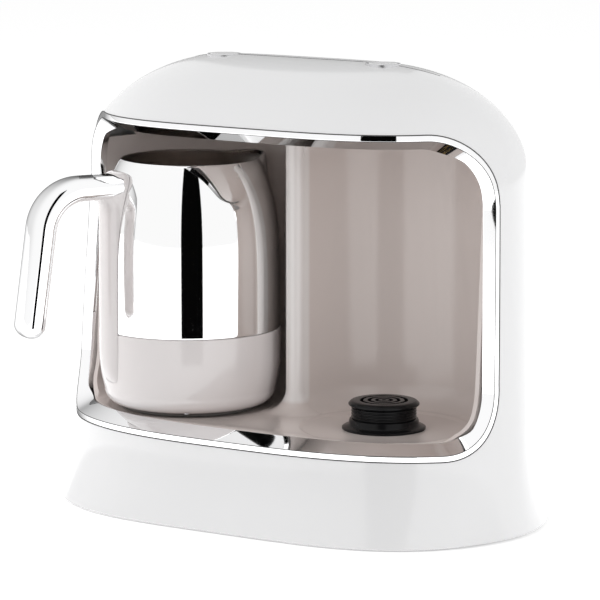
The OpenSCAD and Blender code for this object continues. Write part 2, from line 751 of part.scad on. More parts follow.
cover_screw_turns = [60, 180, 300];

module jug_base_cover() {
    color([0.35, 0.35, 0.35]) on_handle() difference() {
        rotate_extrude() polygon([
            [socket_r + 2.2, jug_low_z + 0.4], [base_hole_r - 3, jug_low_z + 0.4],
            [base_hole_r - 3, 49.5], [base_hole_r - 0.8, 49.5], [base_hole_r - 0.3, jug_low_z],
            [base_hole_r - 0.3, base_ledge_z + 0.1], [41.2, base_ledge_z + 0.1], [41.2, base_ledge_z + 2],
            [base_hole_r - 3, base_ledge_z + 2], [base_hole_r - 3, jug_low_z + 4],
            [socket_r + 2.2, jug_low_z + 4]]);
        for (a = cover_screw_turns) rotate([0, 0, a]) translate([38.6, 0, 40]) cylinder(h = 30, r = 1.1);
    }
}

module jug_cover_screws() {
    color("silver") on_handle() for (a = cover_screw_turns) rotate([0, 0, a])
        translate([38.6, 0, jug_low_z + 0.9]) screw(6.5, r = 1, head_r = 1.4, head_h = 0.6);
}

module jug_socket() {
    low = jug_low_z + 0.6;
    color([0.1, 0.1, 0.1]) in_jug() rotate_extrude() polygon([
        [socket_r, low], [socket_r + 2.1, low], [socket_r + 2.1, jug_low_z + 4.1],
        [socket_r + 4, jug_low_z + 4.1], [socket_r + 4, jug_low_z + 6], [socket_r + 1.6, jug_low_z + 6],
        [socket_r + 1.6, socket_top_z + 1.6], [0, socket_top_z + 1.6], [0, socket_top_z],
        [socket_r, socket_top_z]]);
}

module socket_contacts() {
    color([0.8, 0.65, 0.3]) in_jug() for (g = grooves) {
        mid = (g[0] + g[1]) / 2;
        translate([0, 0, groove_low_z + 1.8]) difference() {
            cylinder(h = socket_top_z - groove_low_z - 1.85, r = mid + 0.35);
            translate([0, 0, -1]) cylinder(h = 20, r = mid - 0.35);
        }
    }
}

heater_top_z = cup_floor_z - 1.05;
heater_t = 3.6;
element_at = 30;
element_r = 3.1;

module heater_plate() {
    color("lightgray") in_jug() translate([0, 0, heater_top_z - heater_t]) cylinder(h = heater_t, r = 38);
}

module heating_element() {
    z = heater_top_z - heater_t - element_r - 0.05;
    color("dimgray") on_handle() {
        rotate([0, 0, 200]) rotate_extrude(angle = 320) translate([element_at, z]) circle(element_r);
        for (a = [200, 160]) rotate([0, 0, a]) translate([element_at, 0, z - 8]) cylinder(h = 8, r = 1.2);
    }
}

module thermostat() {
    color([0.2, 0.2, 0.2]) on_handle() translate([-element_at, 0, heater_top_z - heater_t - 6.6]) {
        cylinder(h = 6.5, r = 6);
        for (y = [-3, 3]) translate([0, y, -4]) cylinder(h = 4.5, r = 0.8);
    }
}

module thermal_fuse() {
    color("tan") on_handle() translate([23.2, -7, heater_top_z - heater_t - 1.65])
        rotate([-90, 0, 0]) cylinder(h = 14, r = 1.6);
}

// ---- handle -------------------------------------------------------------------------------------
// The handle's centreline runs out from the jug, turns down through the elbow and hangs as the grip.
// In the handle's frame a station is [distance from the jug's axis, height, heading downwards].
elbow_turn = 82;
arm_from = 37;
cover_from = 42;
cover_wall = 1.1;
core_inset = cover_wall + handle_gap;
elbow_cz = arm_z - elbow_r;
grip_start = [elbow_at + elbow_r * sin(elbow_turn), elbow_cz + elbow_r * cos(elbow_turn)];
grip_way = [cos(elbow_turn), -sin(elbow_turn)];
function arm_stations(from) = concat(
    [for (k = [0:2]) [lerp(from, elbow_at, k / 3), arm_z, 0]],
    [for (k = [0:10]) let(a = elbow_turn * k / 10)
        [elbow_at + elbow_r * sin(a), elbow_cz + elbow_r * cos(a), a]],
    [for (k = [1:4]) let(p = grip_start + grip_way * grip_l * k / 4) [p[0], p[1], elbow_turn]]);
tip_steps = [for (a = [18:18:90]) a];
function tip_station(a, inset) =
    let(p = grip_start + grip_way * (grip_l + (grip_ht - inset) * sin(a))) [p[0], p[1], elbow_turn];
function tip_scale(a, inset) =
    let(s = sin(a) * grip_ht / (grip_ht - inset)) s >= 1 ? 0.02 : max(0.02, sqrt(1 - s * s));

// Section of the handle: a rounded oblong, cut back under the metal cover.
cover_a0 = -28;
cover_a1 = 208;
function oblong(a, inset) =
    [(grip_hw - inset) * sign(cos(a)) * pow(abs(cos(a)), 0.62),
     (grip_ht - inset) * sign(sin(a)) * pow(abs(sin(a)), 0.72)];
core_section = concat([for (a = [cover_a0:14.75:cover_a1]) oblong(a, core_inset)],
                      [for (a = [cover_a1 + 2:20:cover_a0 + 358]) oblong(a, 0)]);
cover_outer = [for (a = [cover_a0:14.75:cover_a1]) oblong(a, 0)];
cover_inner = [for (a = [cover_a1:-14.75:cover_a0]) oblong(a, cover_wall)];
function place(q, st, k) = [st[0] + k * q[1] * sin(st[2]), k * q[0], st[1] + k * q[1] * cos(st[2])];

module handle_core() {
    skin(concat([for (st = arm_stations(arm_from)) [for (q = core_section) place(q, st, 1)]],
                [for (a = tip_steps) let(st = tip_station(a, core_inset + 0.2))
                    [for (q = core_section) place(q, st, max(0.03, cos(a) - 0.06))]]));
}

// The column joins the arm to the jug's base; it fades into the jug at both ends.
column_r0 = 41;         // middle of the column, from the jug's axis
column_out = 8.8;
column_low_z = 62;
column_high_z = arm_z + grip_ht + 1.2;
column_fade = [18, 9];  // height over which it fades, at the foot and at the top
column_zs = [for (k = [0:16]) lerp(column_low_z, column_high_z, 0.5 - 0.5 * cos(180 * k / 16))];
function fade(t) = t < 1 ? sqrt(max(0.02, 1 - pow(1 - t, 2))) : 1;
function column_reach(z) =
    column_out * fade((z - column_low_z) / column_fade[0]) * fade((column_high_z - z) / column_fade[1]);
function column_width(z) = column_hw * (0.55 + 0.45 * column_reach(z) / column_out);

module handle_column() {
    skin([for (z = column_zs) let(reach = column_reach(z), hw = column_width(z))
        [for (a = [0:15:345]) [column_r0 + reach * sign(cos(a)) * pow(abs(cos(a)), 0.8),
                               hw * sign(sin(a)) * pow(abs(sin(a)), 0.8), z]]]);
}

module jug_space(gap) {
    rotate_extrude() polygon(concat(
        [[0, 50], [column_seat_r + gap, 50], [column_seat_r + gap, band_z - 0.8],
         [jug_r + gap, band_z - 0.2]],
        [for (z = cup_zs) [cup_r(z) + gap, z]], [[rim_r + gap, rim_z + 5], [0, rim_z + 5]]));
}

tab_z = 162.4;          // the bracket's tab in the arm, held by the arm's screw
arm_screw_x = 52.5;
arm_head_z = arm_z - grip_ht + 1.7;
foot_screw_z = 70;      // screw from inside the jug's base into the column

module bracket_form(gap) {
    rotate([0, 0, -8]) rotate_extrude(angle = 16) polygon(concat(
        [for (z = [142:4:166]) [cup_r(z) + 0.1 - 5 * gap, z]],
        [for (z = concat([166 + gap], [for (k = [162:-4:146]) k], [142 - gap])) [cup_r(z) + 1.4 + gap, z]]));
    translate([cup_r(163) + 0.6, -4 - gap, tab_z - gap]) cube([15 + gap, 8 + 2 * gap, 1.5 + 2 * gap]);
}

module cover_room() {
    skin([for (x = [cover_from - handle_gap, elbow_at])
        [for (a = [cover_a0:14.75:cover_a1]) place(oblong(a, -handle_gap), [x, arm_z, 0], 1)]]);
}

module handle_body() {
    color([0.9, 0.88, 0.87]) on_handle() resize([0, 0, 0]) difference() {
        union() {
            handle_core();
            difference() {
                handle_column();
                cover_room();
            }
        }
        jug_space(handle_gap);
        bracket_form(0.15);
        translate([arm_screw_x, 0, 140]) cylinder(h = 30, r = 1.3);
        translate([arm_screw_x, 0, 140]) cylinder(h = arm_head_z - 140 + 0.1, r = 2.7);
        translate([30, 0, foot_screw_z]) rotate([0, 90, 0]) cylinder(h = 18, r = 1.15);
    }
}

module handle_cover() {
    stations = arm_stations(cover_from);
    color("silver") on_handle()
        skin(concat([for (st = stations) [for (q = concat(cover_outer, cover_inner)) place(q, st, 1)]],
                    [for (a = tip_steps) let(st = tip_station(a, 0))
                        [for (q = cover_outer) place(q, st, cos(a) + 0.04),
                         for (q = cover_inner) place(q, st, tip_scale(a, cover_wall))]]));
}

module handle_bracket() {
    color("silver") on_handle() difference() {
        bracket_form(0);
        translate([arm_screw_x, 0, 150]) cylinder(h = 30, r = 1.3);
    }
}

module handle_screws() {
    color("silver") on_handle() {
        translate([arm_screw_x, 0, arm_head_z]) screw(7, r = 1.2, head_r = 2.5, head_h = 1.4);
        translate([43.6, 0, foot_screw_z]) rotate([0, 90, 0]) screw(3.6, r = 1.1, head_r = 2.2, head_h = 1.2);
    }
}

front_shell();
rear_cover();
base_plate();
rubber_feet();
trim_frame();
bay_liner();
left_coupler();
right_coupler();
left_coupler_rings();
right_coupler_rings();
left_button_cap();
right_button_cap();
left_button_collar();
right_button_collar();
left_button_spring();
right_button_spring();
left_button_board();
right_button_board();
control_board();
relays();
transformer();
heat_sink();
buzzer();
board_screws();
terminal_block();
cord_gland();
base_screws();
liner_screws();
rear_screws();
jug_cup();
cup_seal();
jug_base_shell();
jug_base_cover();
heater_plate();
heating_element();
thermostat();
thermal_fuse();
jug_socket();
socket_contacts();
handle_body();
handle_cover();
handle_bracket();
handle_screws();
jug_cover_screws();
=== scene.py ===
"""Looks for the twin coffee maker: shells, trim, liner, couplers, buttons and jug."""
import json
import math

import bpy
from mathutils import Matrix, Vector


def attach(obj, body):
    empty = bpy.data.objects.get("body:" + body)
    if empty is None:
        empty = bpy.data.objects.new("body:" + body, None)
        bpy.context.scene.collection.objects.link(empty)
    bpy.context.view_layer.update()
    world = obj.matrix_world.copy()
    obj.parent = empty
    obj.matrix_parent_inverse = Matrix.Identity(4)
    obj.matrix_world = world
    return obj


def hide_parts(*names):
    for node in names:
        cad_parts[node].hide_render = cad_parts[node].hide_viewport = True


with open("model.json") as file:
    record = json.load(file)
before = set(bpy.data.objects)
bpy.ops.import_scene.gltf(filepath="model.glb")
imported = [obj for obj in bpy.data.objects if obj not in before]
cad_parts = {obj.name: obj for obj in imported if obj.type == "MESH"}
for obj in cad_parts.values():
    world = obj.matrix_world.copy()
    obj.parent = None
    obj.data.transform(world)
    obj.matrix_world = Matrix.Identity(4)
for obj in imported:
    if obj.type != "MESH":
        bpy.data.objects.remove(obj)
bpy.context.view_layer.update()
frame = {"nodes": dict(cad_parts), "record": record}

MM = 0.001
AXIS_R = 0.01  # a turned section keeps this far from its axis, in millimetres
MERGE_WITHIN = 2e-6
NODES = frame["nodes"]


# ---- numbers shared with the CAD source, in millimetres -----------------------------------------
FOOT_W, FOOT_D, TOP_Z = 266.8, 162.6, 230.2
WAIST_W, WAIST_D, SHOULDER_W, SHOULDER_D = 258.0, 137.0, 245.6, 144.6
FLARE_H, DOME_Z, CROWN_R, MID_Z = 45.0, 173.0, 76.0, 160.0
WAIST_Y, SHOULDER_Y = -2.0, 1.5
FOOT_PX, WAIST_PX, SHOULDER_PX, PLAN_QY = 3.8, 2.9, 3.7, 1.8
WALL, SHELL_LOW_Z, SEAM = 2.4, 1.5, 0.5
REAR_HALF_W, REAR_LOW_Z, REAR_CORNER_R = 84.0, 14.0, 30.0
BAY_X, BAY_Y, BAY_R = 58.4, -14.8, 54.2
FLOOR_Z, CEILING_Z, COVE_R, LIP_R = 50.0, 194.5, 12.0, 14.0
LINER_WALL = 2.2
TRIM_LOW_Z, TRIM_TOP_Z, TRIM_LOW_Y, TRIM_TOP_Y = 42.0, 201.0, -18.2, -8.1
TRIM_RY, TRIM_RZ = 27.0, 36.0
RIM_Z, RIM_R, JUG_R, BAND_Z, JUG_LOW_Z = 177.6, 35.3, 46.6, 90.5, 51.2
HANDLE_TURN = 28.6
ARM_Z, ELBOW_R, ELBOW_AT, ELBOW_TURN, GRIP_L = 165.5, 22.0, 62.0, 82.0, 49.5
GRIP_HW, GRIP_HT = 10.0, 6.2
BUTTON_X, BUTTON_Y, BUTTON_R, COLLAR_R = 47.4, 1.4, 7.4, 8.8
BUTTON_TOP_Z, RING_TOP_Z = TOP_Z + 0.1, TOP_Z - 0.1
GLAND_X, GLAND_Z, GLAND_R, GLAND_BOSS, GLAND_BOSS_R = 55.0, 27.0, 7.0, 2.9, 10.4
REAR_SCREW_Z, REAR_HOLE_R, REAR_HEAD_R, REAR_HEAD_DEPTH = (62.0, 168.0), 1.8, 3.0, 1.1
INSIDE_Y, OUTSIDE_Y = 20.0, 110.0  # where the cuts through the back begin and end


def lerp(a, b, t):
    return a + (b - a) * t


def even(a, b, n):
    return [lerp(a, b, k / n) for k in range(n + 1)]


def clamp01(t):
    return min(max(t, 0.0), 1.0)


def smooth(t):
    t = clamp01(t)
    return t * t * (3 - 2 * t)


def arc(cx, cy, r, a0, a1, n, ry=None):
    """Points of an arc about (cx, cy), or of an ellipse if ry is given; angles in degrees."""
    angles = [math.radians(lerp(a0, a1, k / n)) for k in range(n + 1)]
    return [(cx + r * math.cos(a), cy + (ry or r) * math.sin(a)) for a in angles]


# ---- the housing's outer form -------------------------------------------------------------------
def rise(z):
    return (z - FLARE_H) / (MID_Z - FLARE_H)


def flare(z):
    return (1 - z / FLARE_H) ** 2 if z < FLARE_H else 0.0


def straight(foot, waist, shoulder, z):
    return lerp(waist, shoulder, rise(z)) + flare(z) * (foot - lerp(waist, shoulder, rise(0)))


def dome(z, inset=0.0):
    if z <= DOME_Z:
        return 1.0
    return math.sqrt(max(0.0, 1 - ((z - DOME_Z) / (TOP_Z - inset - DOME_Z)) ** 2))


def half_w(z, inset=0.0):
    side = straight(FOOT_W / 2, WAIST_W / 2, SHOULDER_W / 2, z)
    return side - CROWN_R * (1 - dome(z, inset)) - inset


def half_d(z, inset=0.0):
    return (straight(FOOT_D / 2, WAIST_D / 2, SHOULDER_D / 2, z) - inset) * dome(z, inset)


def mid_y(z):
    return straight(0.0, WAIST_Y, SHOULDER_Y, z)


def plan_px(z):
    return lerp(lerp(WAIST_PX, SHOULDER_PX, clamp01(rise(z))), FOOT_PX, flare(z))


def around(t, z, inset=0.0):
    """The point of the section at height z and angle t, in radians from the right side."""
    c, s = math.cos(t), math.sin(t)
    c, s = (0.0 if abs(c) < 1e-9 else c), (0.0 if abs(s) < 1e-9 else s)
    return Vector((half_w(z, inset) * math.copysign(abs(c) ** (2 / plan_px(z)), c),
                   mid_y(z) + half_d(z, inset) * math.copysign(abs(s) ** (2 / PLAN_QY), s), z))


def outward(p):
    """The level outward normal of the housing at the point p on it."""
    z, px, dy = p.z, plan_px(p.z), p.y - mid_y(p.z)
    gx = math.copysign(px * (abs(p.x) / half_w(z)) ** (px - 1) / half_w(z), p.x)
    gy = math.copysign(PLAN_QY * (abs(dy) / half_d(z)) ** (PLAN_QY - 1) / half_d(z), dy)
    return Vector((gx, gy, 0)).normalized()


def front_at(x, z):
    """The point of the housing's front at (x, z)."""
    room = max(0.0, 1 - (abs(x) / half_w(z)) ** plan_px(z))
    return Vector((x, mid_y(z) - half_d(z) * room ** (1 / PLAN_QY), z))


def back_at(x, z):
    """How far back the housing reaches at (x, z)."""
    room = max(0.0, 1 - (abs(x) / half_w(z)) ** plan_px(z))
    return mid_y(z) + half_d(z) * room ** (1 / PLAN_QY)


def side_at(y, z):
    """The point of the housing's right side at (y, z)."""
    room = max(0.0, 1 - (abs(y - mid_y(z)) / half_d(z)) ** PLAN_QY)
    return Vector((half_w(z) * room ** (1 / plan_px(z)), y, z))


def even_angles(quarter_n, z=100.0):
    """Angles round the section whose points stand evenly along it."""
    fine = [math.pi / 2 * (1 - (1 - k / 6000) ** 2) for k in range(6001)]
    points = [around(t, z) for t in fine]
    lengths = [0.0]
    for a, b in zip(points, points[1:]):
        lengths.append(lengths[-1] + (b - a).length)
    quarter, k = [], 0
    for i in range(quarter_n + 1):
        want = lengths[-1] * i / quarter_n
        while k < 5999 and lengths[k + 1] < want:
            k += 1
        part_way = (want - lengths[k]) / (lengths[k + 1] - lengths[k])
        quarter.append(lerp(fine[k], fine[k + 1], part_way))
    half = quarter + [math.pi - t for t in reversed(quarter[:-1])]
    return half + [2 * math.pi - t for t in reversed(half[1:-1])] + [2 * math.pi]


# ---- modelling steps ----------------------------------------------------------------------------
def only(*objects):
    if bpy.context.mode != "OBJECT":
        bpy.ops.object.mode_set(mode="OBJECT")
    bpy.ops.object.select_all(action="DESELECT")
    for o in objects:
        o.select_set(True)
    if objects:
        bpy.context.view_layer.objects.active = objects[0]


def in_edit(obj, *steps):
    """Runs edit-mode steps on all of obj's mesh."""
    only(obj)
    bpy.ops.object.mode_set(mode="EDIT")
    bpy.ops.mesh.select_mode(type="VERT")
    bpy.ops.mesh.select_all(action="SELECT")
    for step in steps:
        step()
    bpy.ops.object.mode_set(mode="OBJECT")
    return obj


def merge():
    bpy.ops.mesh.remove_doubles(threshold=MERGE_WITHIN)


def face_out():
    bpy.ops.mesh.select_all(action="SELECT")
    bpy.ops.mesh.normals_make_consistent(inside=False)


def cap_ends():
    bpy.ops.mesh.select_all(action="DESELECT")
    bpy.ops.mesh.select_non_manifold()
    bpy.ops.mesh.edge_face_add()


def settle(obj, name):
    """Puts the object's place into its mesh and gives it its name."""
    only(obj)
    bpy.ops.object.transform_apply(location=True, rotation=True, scale=True)
    obj.name = obj.data.name = name
    return obj


def modify(obj, kind, **settings):
    only(obj)
    m = obj.modifiers.new(kind.lower(), kind)
    for key, value in settings.items():
        setattr(m, key, value)
    bpy.ops.object.modifier_apply(modifier=m.name)
    return obj


def boolean(obj, operation, *tools):
    for tool in tools:
        modify(obj, "BOOLEAN", operation=operation, solver="MANIFOLD", object=tool)
        bpy.data.objects.remove(tool)
    return obj


def formed_grid(name, nu, nv, at):
    """A grid whose corner (i, j) is moved to at(i, j), in mm; edges that meet are merged."""
    only()
    bpy.ops.mesh.primitive_grid_add(x_subdivisions=nu, y_subdivisions=nv, size=2)
    grid = bpy.context.object
    for v in grid.data.vertices:
        i, j = round((v.co.x + 1) / 2 * nu), round((v.co.y + 1) / 2 * nv)
        v.co = Vector(at(i, j)) * MM
    in_edit(grid, merge)
    return settle(grid, name)


def prism(name, outline, direction, low, high):
    """A flat outline drawn out along X, Y or Z; its pairs are the other two coordinates."""
    only()
    bpy.ops.mesh.primitive_circle_add(vertices=len(outline), fill_type="NGON", radius=1)
    solid = bpy.context.object
    axis = "XYZ".index(direction)
    for v, (a, b) in zip(solid.data.vertices, outline):
        place = [a, b]
        place.insert(axis, low)
        v.co = Vector(place) * MM
    step = Vector([high - low if k == axis else 0 for k in range(3)]) * MM
    in_edit(solid, lambda: bpy.ops.mesh.extrude_region_move(TRANSFORM_OT_translate={"value": step}),
            face_out)
    return settle(solid, name)


def lathe(name, loop, centre=(0, 0), steps=128):
    """A closed loop of (radius, height) pairs spun about the upright line through centre."""
    only()
    bpy.ops.mesh.primitive_circle_add(vertices=len(loop), fill_type="NOTHING", radius=1)
    body = bpy.context.object
    for v, (r, z) in zip(body.data.vertices, loop):
        v.co = Vector((centre[0] + r, centre[1], z)) * MM
    middle = (centre[0] * MM, centre[1] * MM, 0)
    in_edit(body,
            lambda: bpy.ops.mesh.spin(steps=steps, angle=2 * math.pi, center=middle,
                                      axis=(0, 0, 1)),
            lambda: bpy.ops.mesh.select_all(action="SELECT"), merge, face_out)
    return settle(body, name)


def sweep(name, rings, closed=False):
    """Skins rings of equal length, in mm; the ends are capped unless the sweep is closed."""
    n, m = len(rings), len(rings[0])
    rows = rings + [rings[0]] if closed else rings
    grid = formed_grid(name, m, len(rows) - 1, lambda i, j: rows[j][i % m])
    return in_edit(grid, *([face_out] if closed else [cap_ends, face_out]))


def round_edges(obj, width, segments=3, angle=30):
    return modify(obj, "BEVEL", width=width * MM, segments=segments, limit_method="ANGLE",
                  angle_limit=math.radians(angle), harden_normals=False)


def shade(obj, angle=35):
    only(obj)
    bpy.ops.object.shade_smooth_by_angle(angle=math.radians(angle))
    return obj


# ---- materials ----------------------------------------------------------------------------------
class Field:
    """A shader socket that can be reckoned with in plain expressions."""

    def __init__(self, finish, socket):
        self.finish, self.socket = finish, socket

    def _maths(self, operation, other):
        return self.finish.node("ShaderNodeMath", {"operation": operation}, [self, other])

    def __add__(self, other):
        return self._maths("ADD", other)

    def __mul__(self, other):
        return self._maths("MULTIPLY", other)

    def __gt__(self, other):
        return self._maths("GREATER_THAN", other)


class Finish:
    """A node material: one Principled shader, fed by what node() adds."""

    def __init__(self, name, colour, roughness, **sockets):
        self.material = bpy.data.materials.new(name)
        self.material.use_nodes = True
        self.tree = self.material.node_tree
        self.shader = self.tree.nodes["Principled BSDF"]
        self.shader.inputs["Base Color"].default_value = (*colour, 1)
        self.shader.inputs["Roughness"].default_value = roughness
        for key, value in sockets.items():
            socket = key.replace("_", " ").title().replace("Ior", "IOR")
            self.shader.inputs[socket].default_value = value
        self.place = self.node("ShaderNodeTexCoord", {}, [], "Object")

    def node(self, kind, settings, sockets, output=0):
        n = self.tree.nodes.new(kind)
        for key, value in settings.items():
            setattr(n, key, value)
        pairs = sockets.items() if isinstance(sockets, dict) else enumerate(sockets)
        for key, value in pairs:
            if isinstance(value, Field):
                self.tree.links.new(value.socket, n.inputs[key])
            else:
                n.inputs[key].default_value = value
        return Field(self, n.outputs[output])

    def noise(self, scale, detail=3.0, roughness=0.5, stretch=None):
        place = self.place
        if stretch:
            place = self.node("ShaderNodeMapping", {}, {"Vector": place, "Scale": stretch})
        sockets = {"Vector": place, "Scale": scale, "Detail": detail, "Roughness": roughness}
        return self.node("ShaderNodeTexNoise", {}, sockets, "Fac")

    def mix(self, factor, a, b):
        """Between two colours, each a tuple or a field."""
        a, b = ((*c, 1) if isinstance(c, tuple) else c for c in (a, b))
        return self.node("ShaderNodeMix", {"data_type": "RGBA"}, {0: factor, 6: a, 7: b}, 2)

    def feed(self, socket, field):
        self.tree.links.new(field.socket, self.shader.inputs[socket])
        return self

    def bump(self, height, distance, strength=1.0):
        return self.feed("Normal", self.node("ShaderNodeBump", {}, {
            "Height": height, "Distance": distance * MM, "Strength": strength}))

    def paint(self, obj):
        if not obj.material_slots:
            obj.data.materials.append(self.material)
        for slot in obj.material_slots:
            slot.material = self.material
        return obj


def moulded(name, colour, roughness, grain=0.02, tint=0.012, coat=0.0):
    """Moulded plastic: a very faint drift of shade and gloss, and the skin's slight waviness."""
    f = Finish(name, colour, roughness, coat_weight=coat, coat_roughness=0.04)
    drift = f.noise(14, 2)
    paler = tuple(min(1.0, c * (1 + tint)) for c in colour)
    darker = tuple(c * (1 - tint) for c in colour)
    f.feed("Base Color", f.mix(drift, darker, paler))
    f.feed("Roughness", f.noise(60, 3) * 0.05 + (roughness - 0.025))
    return f.bump(f.noise(170, 2), grain, 0.35)


def liner_finish():
    """The greige liner, whose divider nose is painted paler: a painted highlight for the light that
    falls on it.
    """
    f = moulded("liner_greige_satin", (0.71, 0.64, 0.61), 0.15)
    place = f.node("ShaderNodeSeparateXYZ", {}, [f.place])
    x, y = Field(f, place.socket.node.outputs[0]), Field(f, place.socket.node.outputs[1])
    y = y + 0.0051  # the nose's centre lies 5.1 mm before the middle
    # squares of the distances from the nose's centre where the painted highlight is full, and gone
    highlight_full_square, highlight_none_square = 3.8e-5, 5.6e-5
    near = f.node("ShaderNodeMapRange", {}, {"Value": x * x + y * y, "From Min": highlight_none_square,
                                             "From Max": highlight_full_square})
    greige = Field(f, f.shader.inputs["Base Color"].links[0].from_socket)
    # painted highlight: the nose is mixed towards a paler greige, standing in for the light on it
    return f.feed("Base Color", f.mix(near, greige, (0.84, 0.805, 0.79)))


def plated(name, shade_of, roughness, edge=1.0):
    """Bright plating with a breath of haze; an edge below 1 darkens where it turns from the eye."""
    f = Finish(name, shade_of, roughness, metallic=1.0, specular_tint=(edge, edge, edge, 1))
    f.feed("Roughness", f.noise(24, 3) * 0.03 + roughness)
    return f.feed("Base Color", f.mix(f.noise(9, 2), tuple(c * 0.985 for c in shade_of), shade_of))


def turned_steel(name, shade_of, roughness, lines=900):
    """Steel with the fine rings that turning or drawing leaves."""
    f = Finish(name, shade_of, roughness, metallic=1.0)
    rings = f.noise(lines, 2, 0.6, stretch=(0.02, 0.02, 1.0))
    f.feed("Roughness", rings * 0.14 + roughness)
    f.feed("Base Color", f.mix(rings, tuple(c * 0.88 for c in shade_of), shade_of))
    return f.bump(rings, 0.02, 0.5)


def rubbery(name, colour, roughness=0.75):
    """Rubber: a fine speck in shade, gloss and skin."""
    f = Finish(name, colour, roughness)
    speck = f.noise(420, 4, 0.65)
    darker, paler = tuple(c * 0.8 for c in colour), tuple(c * 1.25 for c in colour)
    f.feed("Base Color", f.mix(speck, darker, paler))
    f.feed("Roughness", speck * 0.12 + (roughness - 0.06))
    return f.bump(speck, 0.06, 0.6)


def circuit(name):
    """Solder mask over copper tracks."""
    f = Finish(name, (0.02, 0.16, 0.06), 0.35)
    cells = f.node("ShaderNodeTexVoronoi", {"distance": "CHEBYCHEV"},
                   {"Vector": f.place, "Scale": 220})
    tracks = cells > 0.42
    f.feed("Base Color", f.mix(tracks, (0.015, 0.13, 0.05), (0.05, 0.3, 0.1)))
    f.feed("Roughness", tracks * 0.15 + 0.3)
    return f.bump(tracks, 0.03, 0.5)


WHITE = moulded("housing_white_gloss", (0.86, 0.86, 0.865), 0.16, coat=0.3)
BUTTON_WHITE = moulded("button_white_gloss", (0.86, 0.86, 0.865), 0.2)
LINER = liner_finish()
PEARL = moulded("jug_pearl_gloss", (0.76, 0.72, 0.715), 0.15, coat=0.4)
CHROME = plated("bright_chrome", (0.97, 0.97, 0.975), 0.02, edge=0.2)
RING_SATIN = plated("button_ring_satin", (0.62, 0.62, 0.63), 0.3)
CUP_STEEL = plated("polished_steel", (0.965, 0.965, 0.965), 0.025, edge=0.45)
CUP_SATIN = turned_steel("cup_inside_satin", (0.80, 0.74, 0.70), 0.32, 500)
COUPLER_BLACK = moulded("coupler_black_satin", (0.006, 0.006, 0.0065), 0.22, grain=0.05, tint=0.2)
COUPLER_BLACK.shader.inputs["Specular IOR Level"].default_value = 0.15
# dark grey strips that paint the shade in seams and a dark reflection along the trim's ridge
SHADE_AND_REFLECTION_GREY = rubbery("painted_shade_and_reflection_grey", (0.05, 0.05, 0.05), 0.6)


# ---- housing ------------------------------------------------------------------------------------
def housing_shell(name):
    """The whole outer skin with its wall thickness, before any cut."""
    angles = even_angles(64)
    levels = even(SHELL_LOW_Z, FLARE_H, 22)[:-1] + even(FLARE_H, DOME_Z, 16)[:-1]
    levels += [lerp(DOME_Z, TOP_Z, math.sin(math.pi / 2 * k / 44)) for k in range(45)]
    shell = formed_grid(name, len(angles) - 1, len(levels) - 1,
                        lambda i, j: around(angles[i % (len(angles) - 1)], levels[j]))
    in_edit(shell, face_out)
    return modify(shell, "SOLIDIFY", thickness=WALL * MM, offset=-1.0, use_even_offset=True)


def trim_y(z):
    return lerp(TRIM_LOW_Y, TRIM_TOP_Y, (z - TRIM_LOW_Z) / (TRIM_TOP_Z - TRIM_LOW_Z))


def corner(low, n=24):
    """A rounded corner of the opening, seen from the side, as (y, z) pairs."""
    cz = TRIM_LOW_Z + TRIM_RZ if low else TRIM_TOP_Z - TRIM_RZ
    return arc(trim_y(cz) - TRIM_RY, cz, TRIM_RY, -90 if low else 0, 0 if low else 90, n, TRIM_RZ)


def opening_cutter():
    outline = [(-FOOT_D, TRIM_LOW_Z)] + corner(True) + corner(False) + [(-FOOT_D, TRIM_TOP_Z)]
    return prism("opening", outline, "X", -FOOT_W, FOOT_W)


def rear_cutter(grow):
    w, y0, r = REAR_HALF_W + grow, BUTTON_Y - grow, REAR_CORNER_R + grow
    outline = (arc(w - r, y0 + r, r, -90, 0, 16) + [(w, FOOT_D), (-w, FOOT_D)]
               + arc(r - w, y0 + r, r, 180, 270, 16))
    return prism("rear_zone", outline, "Z", REAR_LOW_Z - grow, TOP_Z + 30)


def button_cutters():
    return [prism("button_hole", arc(s * BUTTON_X, BUTTON_Y, COLLAR_R + 0.12, 0, 354, 59), "Z",
                  TOP_Z - 20, TOP_Z + 20) for s in (-1, 1)]


def rod(name, x, z, r, y0, y1):
    """A round cutter along Y."""
    only()
    bpy.ops.mesh.primitive_cylinder_add(vertices=48, radius=r * MM, depth=(y1 - y0) * MM,
                                        location=(x * MM, (y0 + y1) / 2 * MM, z * MM),
                                        rotation=(math.pi / 2, 0, 0))
    return settle(bpy.context.object, name)


def make_housing():
    """The front shell, and the rear cover with its screw seats and its boss for the gland."""
    front = housing_shell("front_shell_skin")
    boolean(front, "DIFFERENCE", opening_cutter(), rear_cutter(SEAM / 2), *button_cutters())
    rear = housing_shell("rear_cover_skin")
    boolean(rear, "INTERSECT", rear_cutter(-SEAM / 2))
    gland_y = back_at(GLAND_X, GLAND_Z)
    boolean(rear, "UNION", rod("gland_boss", GLAND_X, GLAND_Z, GLAND_BOSS_R, gland_y - WALL,
                               gland_y + GLAND_BOSS))
    places = [(s * BAY_X, z) for s in (-1, 1) for z in REAR_SCREW_Z]
    holes = [rod("screw_hole", x, z, REAR_HOLE_R, INSIDE_Y, OUTSIDE_Y) for x, z in places]
    seats = [rod("screw_seat", x, z, REAR_HEAD_R, back_at(x, z) - REAR_HEAD_DEPTH, OUTSIDE_Y)
             for x, z in places]
    boolean(rear, "DIFFERENCE", *button_cutters(), *holes, *seats,
            rod("gland_hole", GLAND_X, GLAND_Z, GLAND_R + 0.1, INSIDE_Y, OUTSIDE_Y),
            rod("boss_face", GLAND_X, GLAND_Z, GLAND_BOSS_R, gland_y + GLAND_BOSS, OUTSIDE_Y))
    for obj, node in ((front, "front_shell"), (rear, "rear_cover")):
        shade(obj, 40)
        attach(WHITE.paint(obj), "housing")
        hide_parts(node)


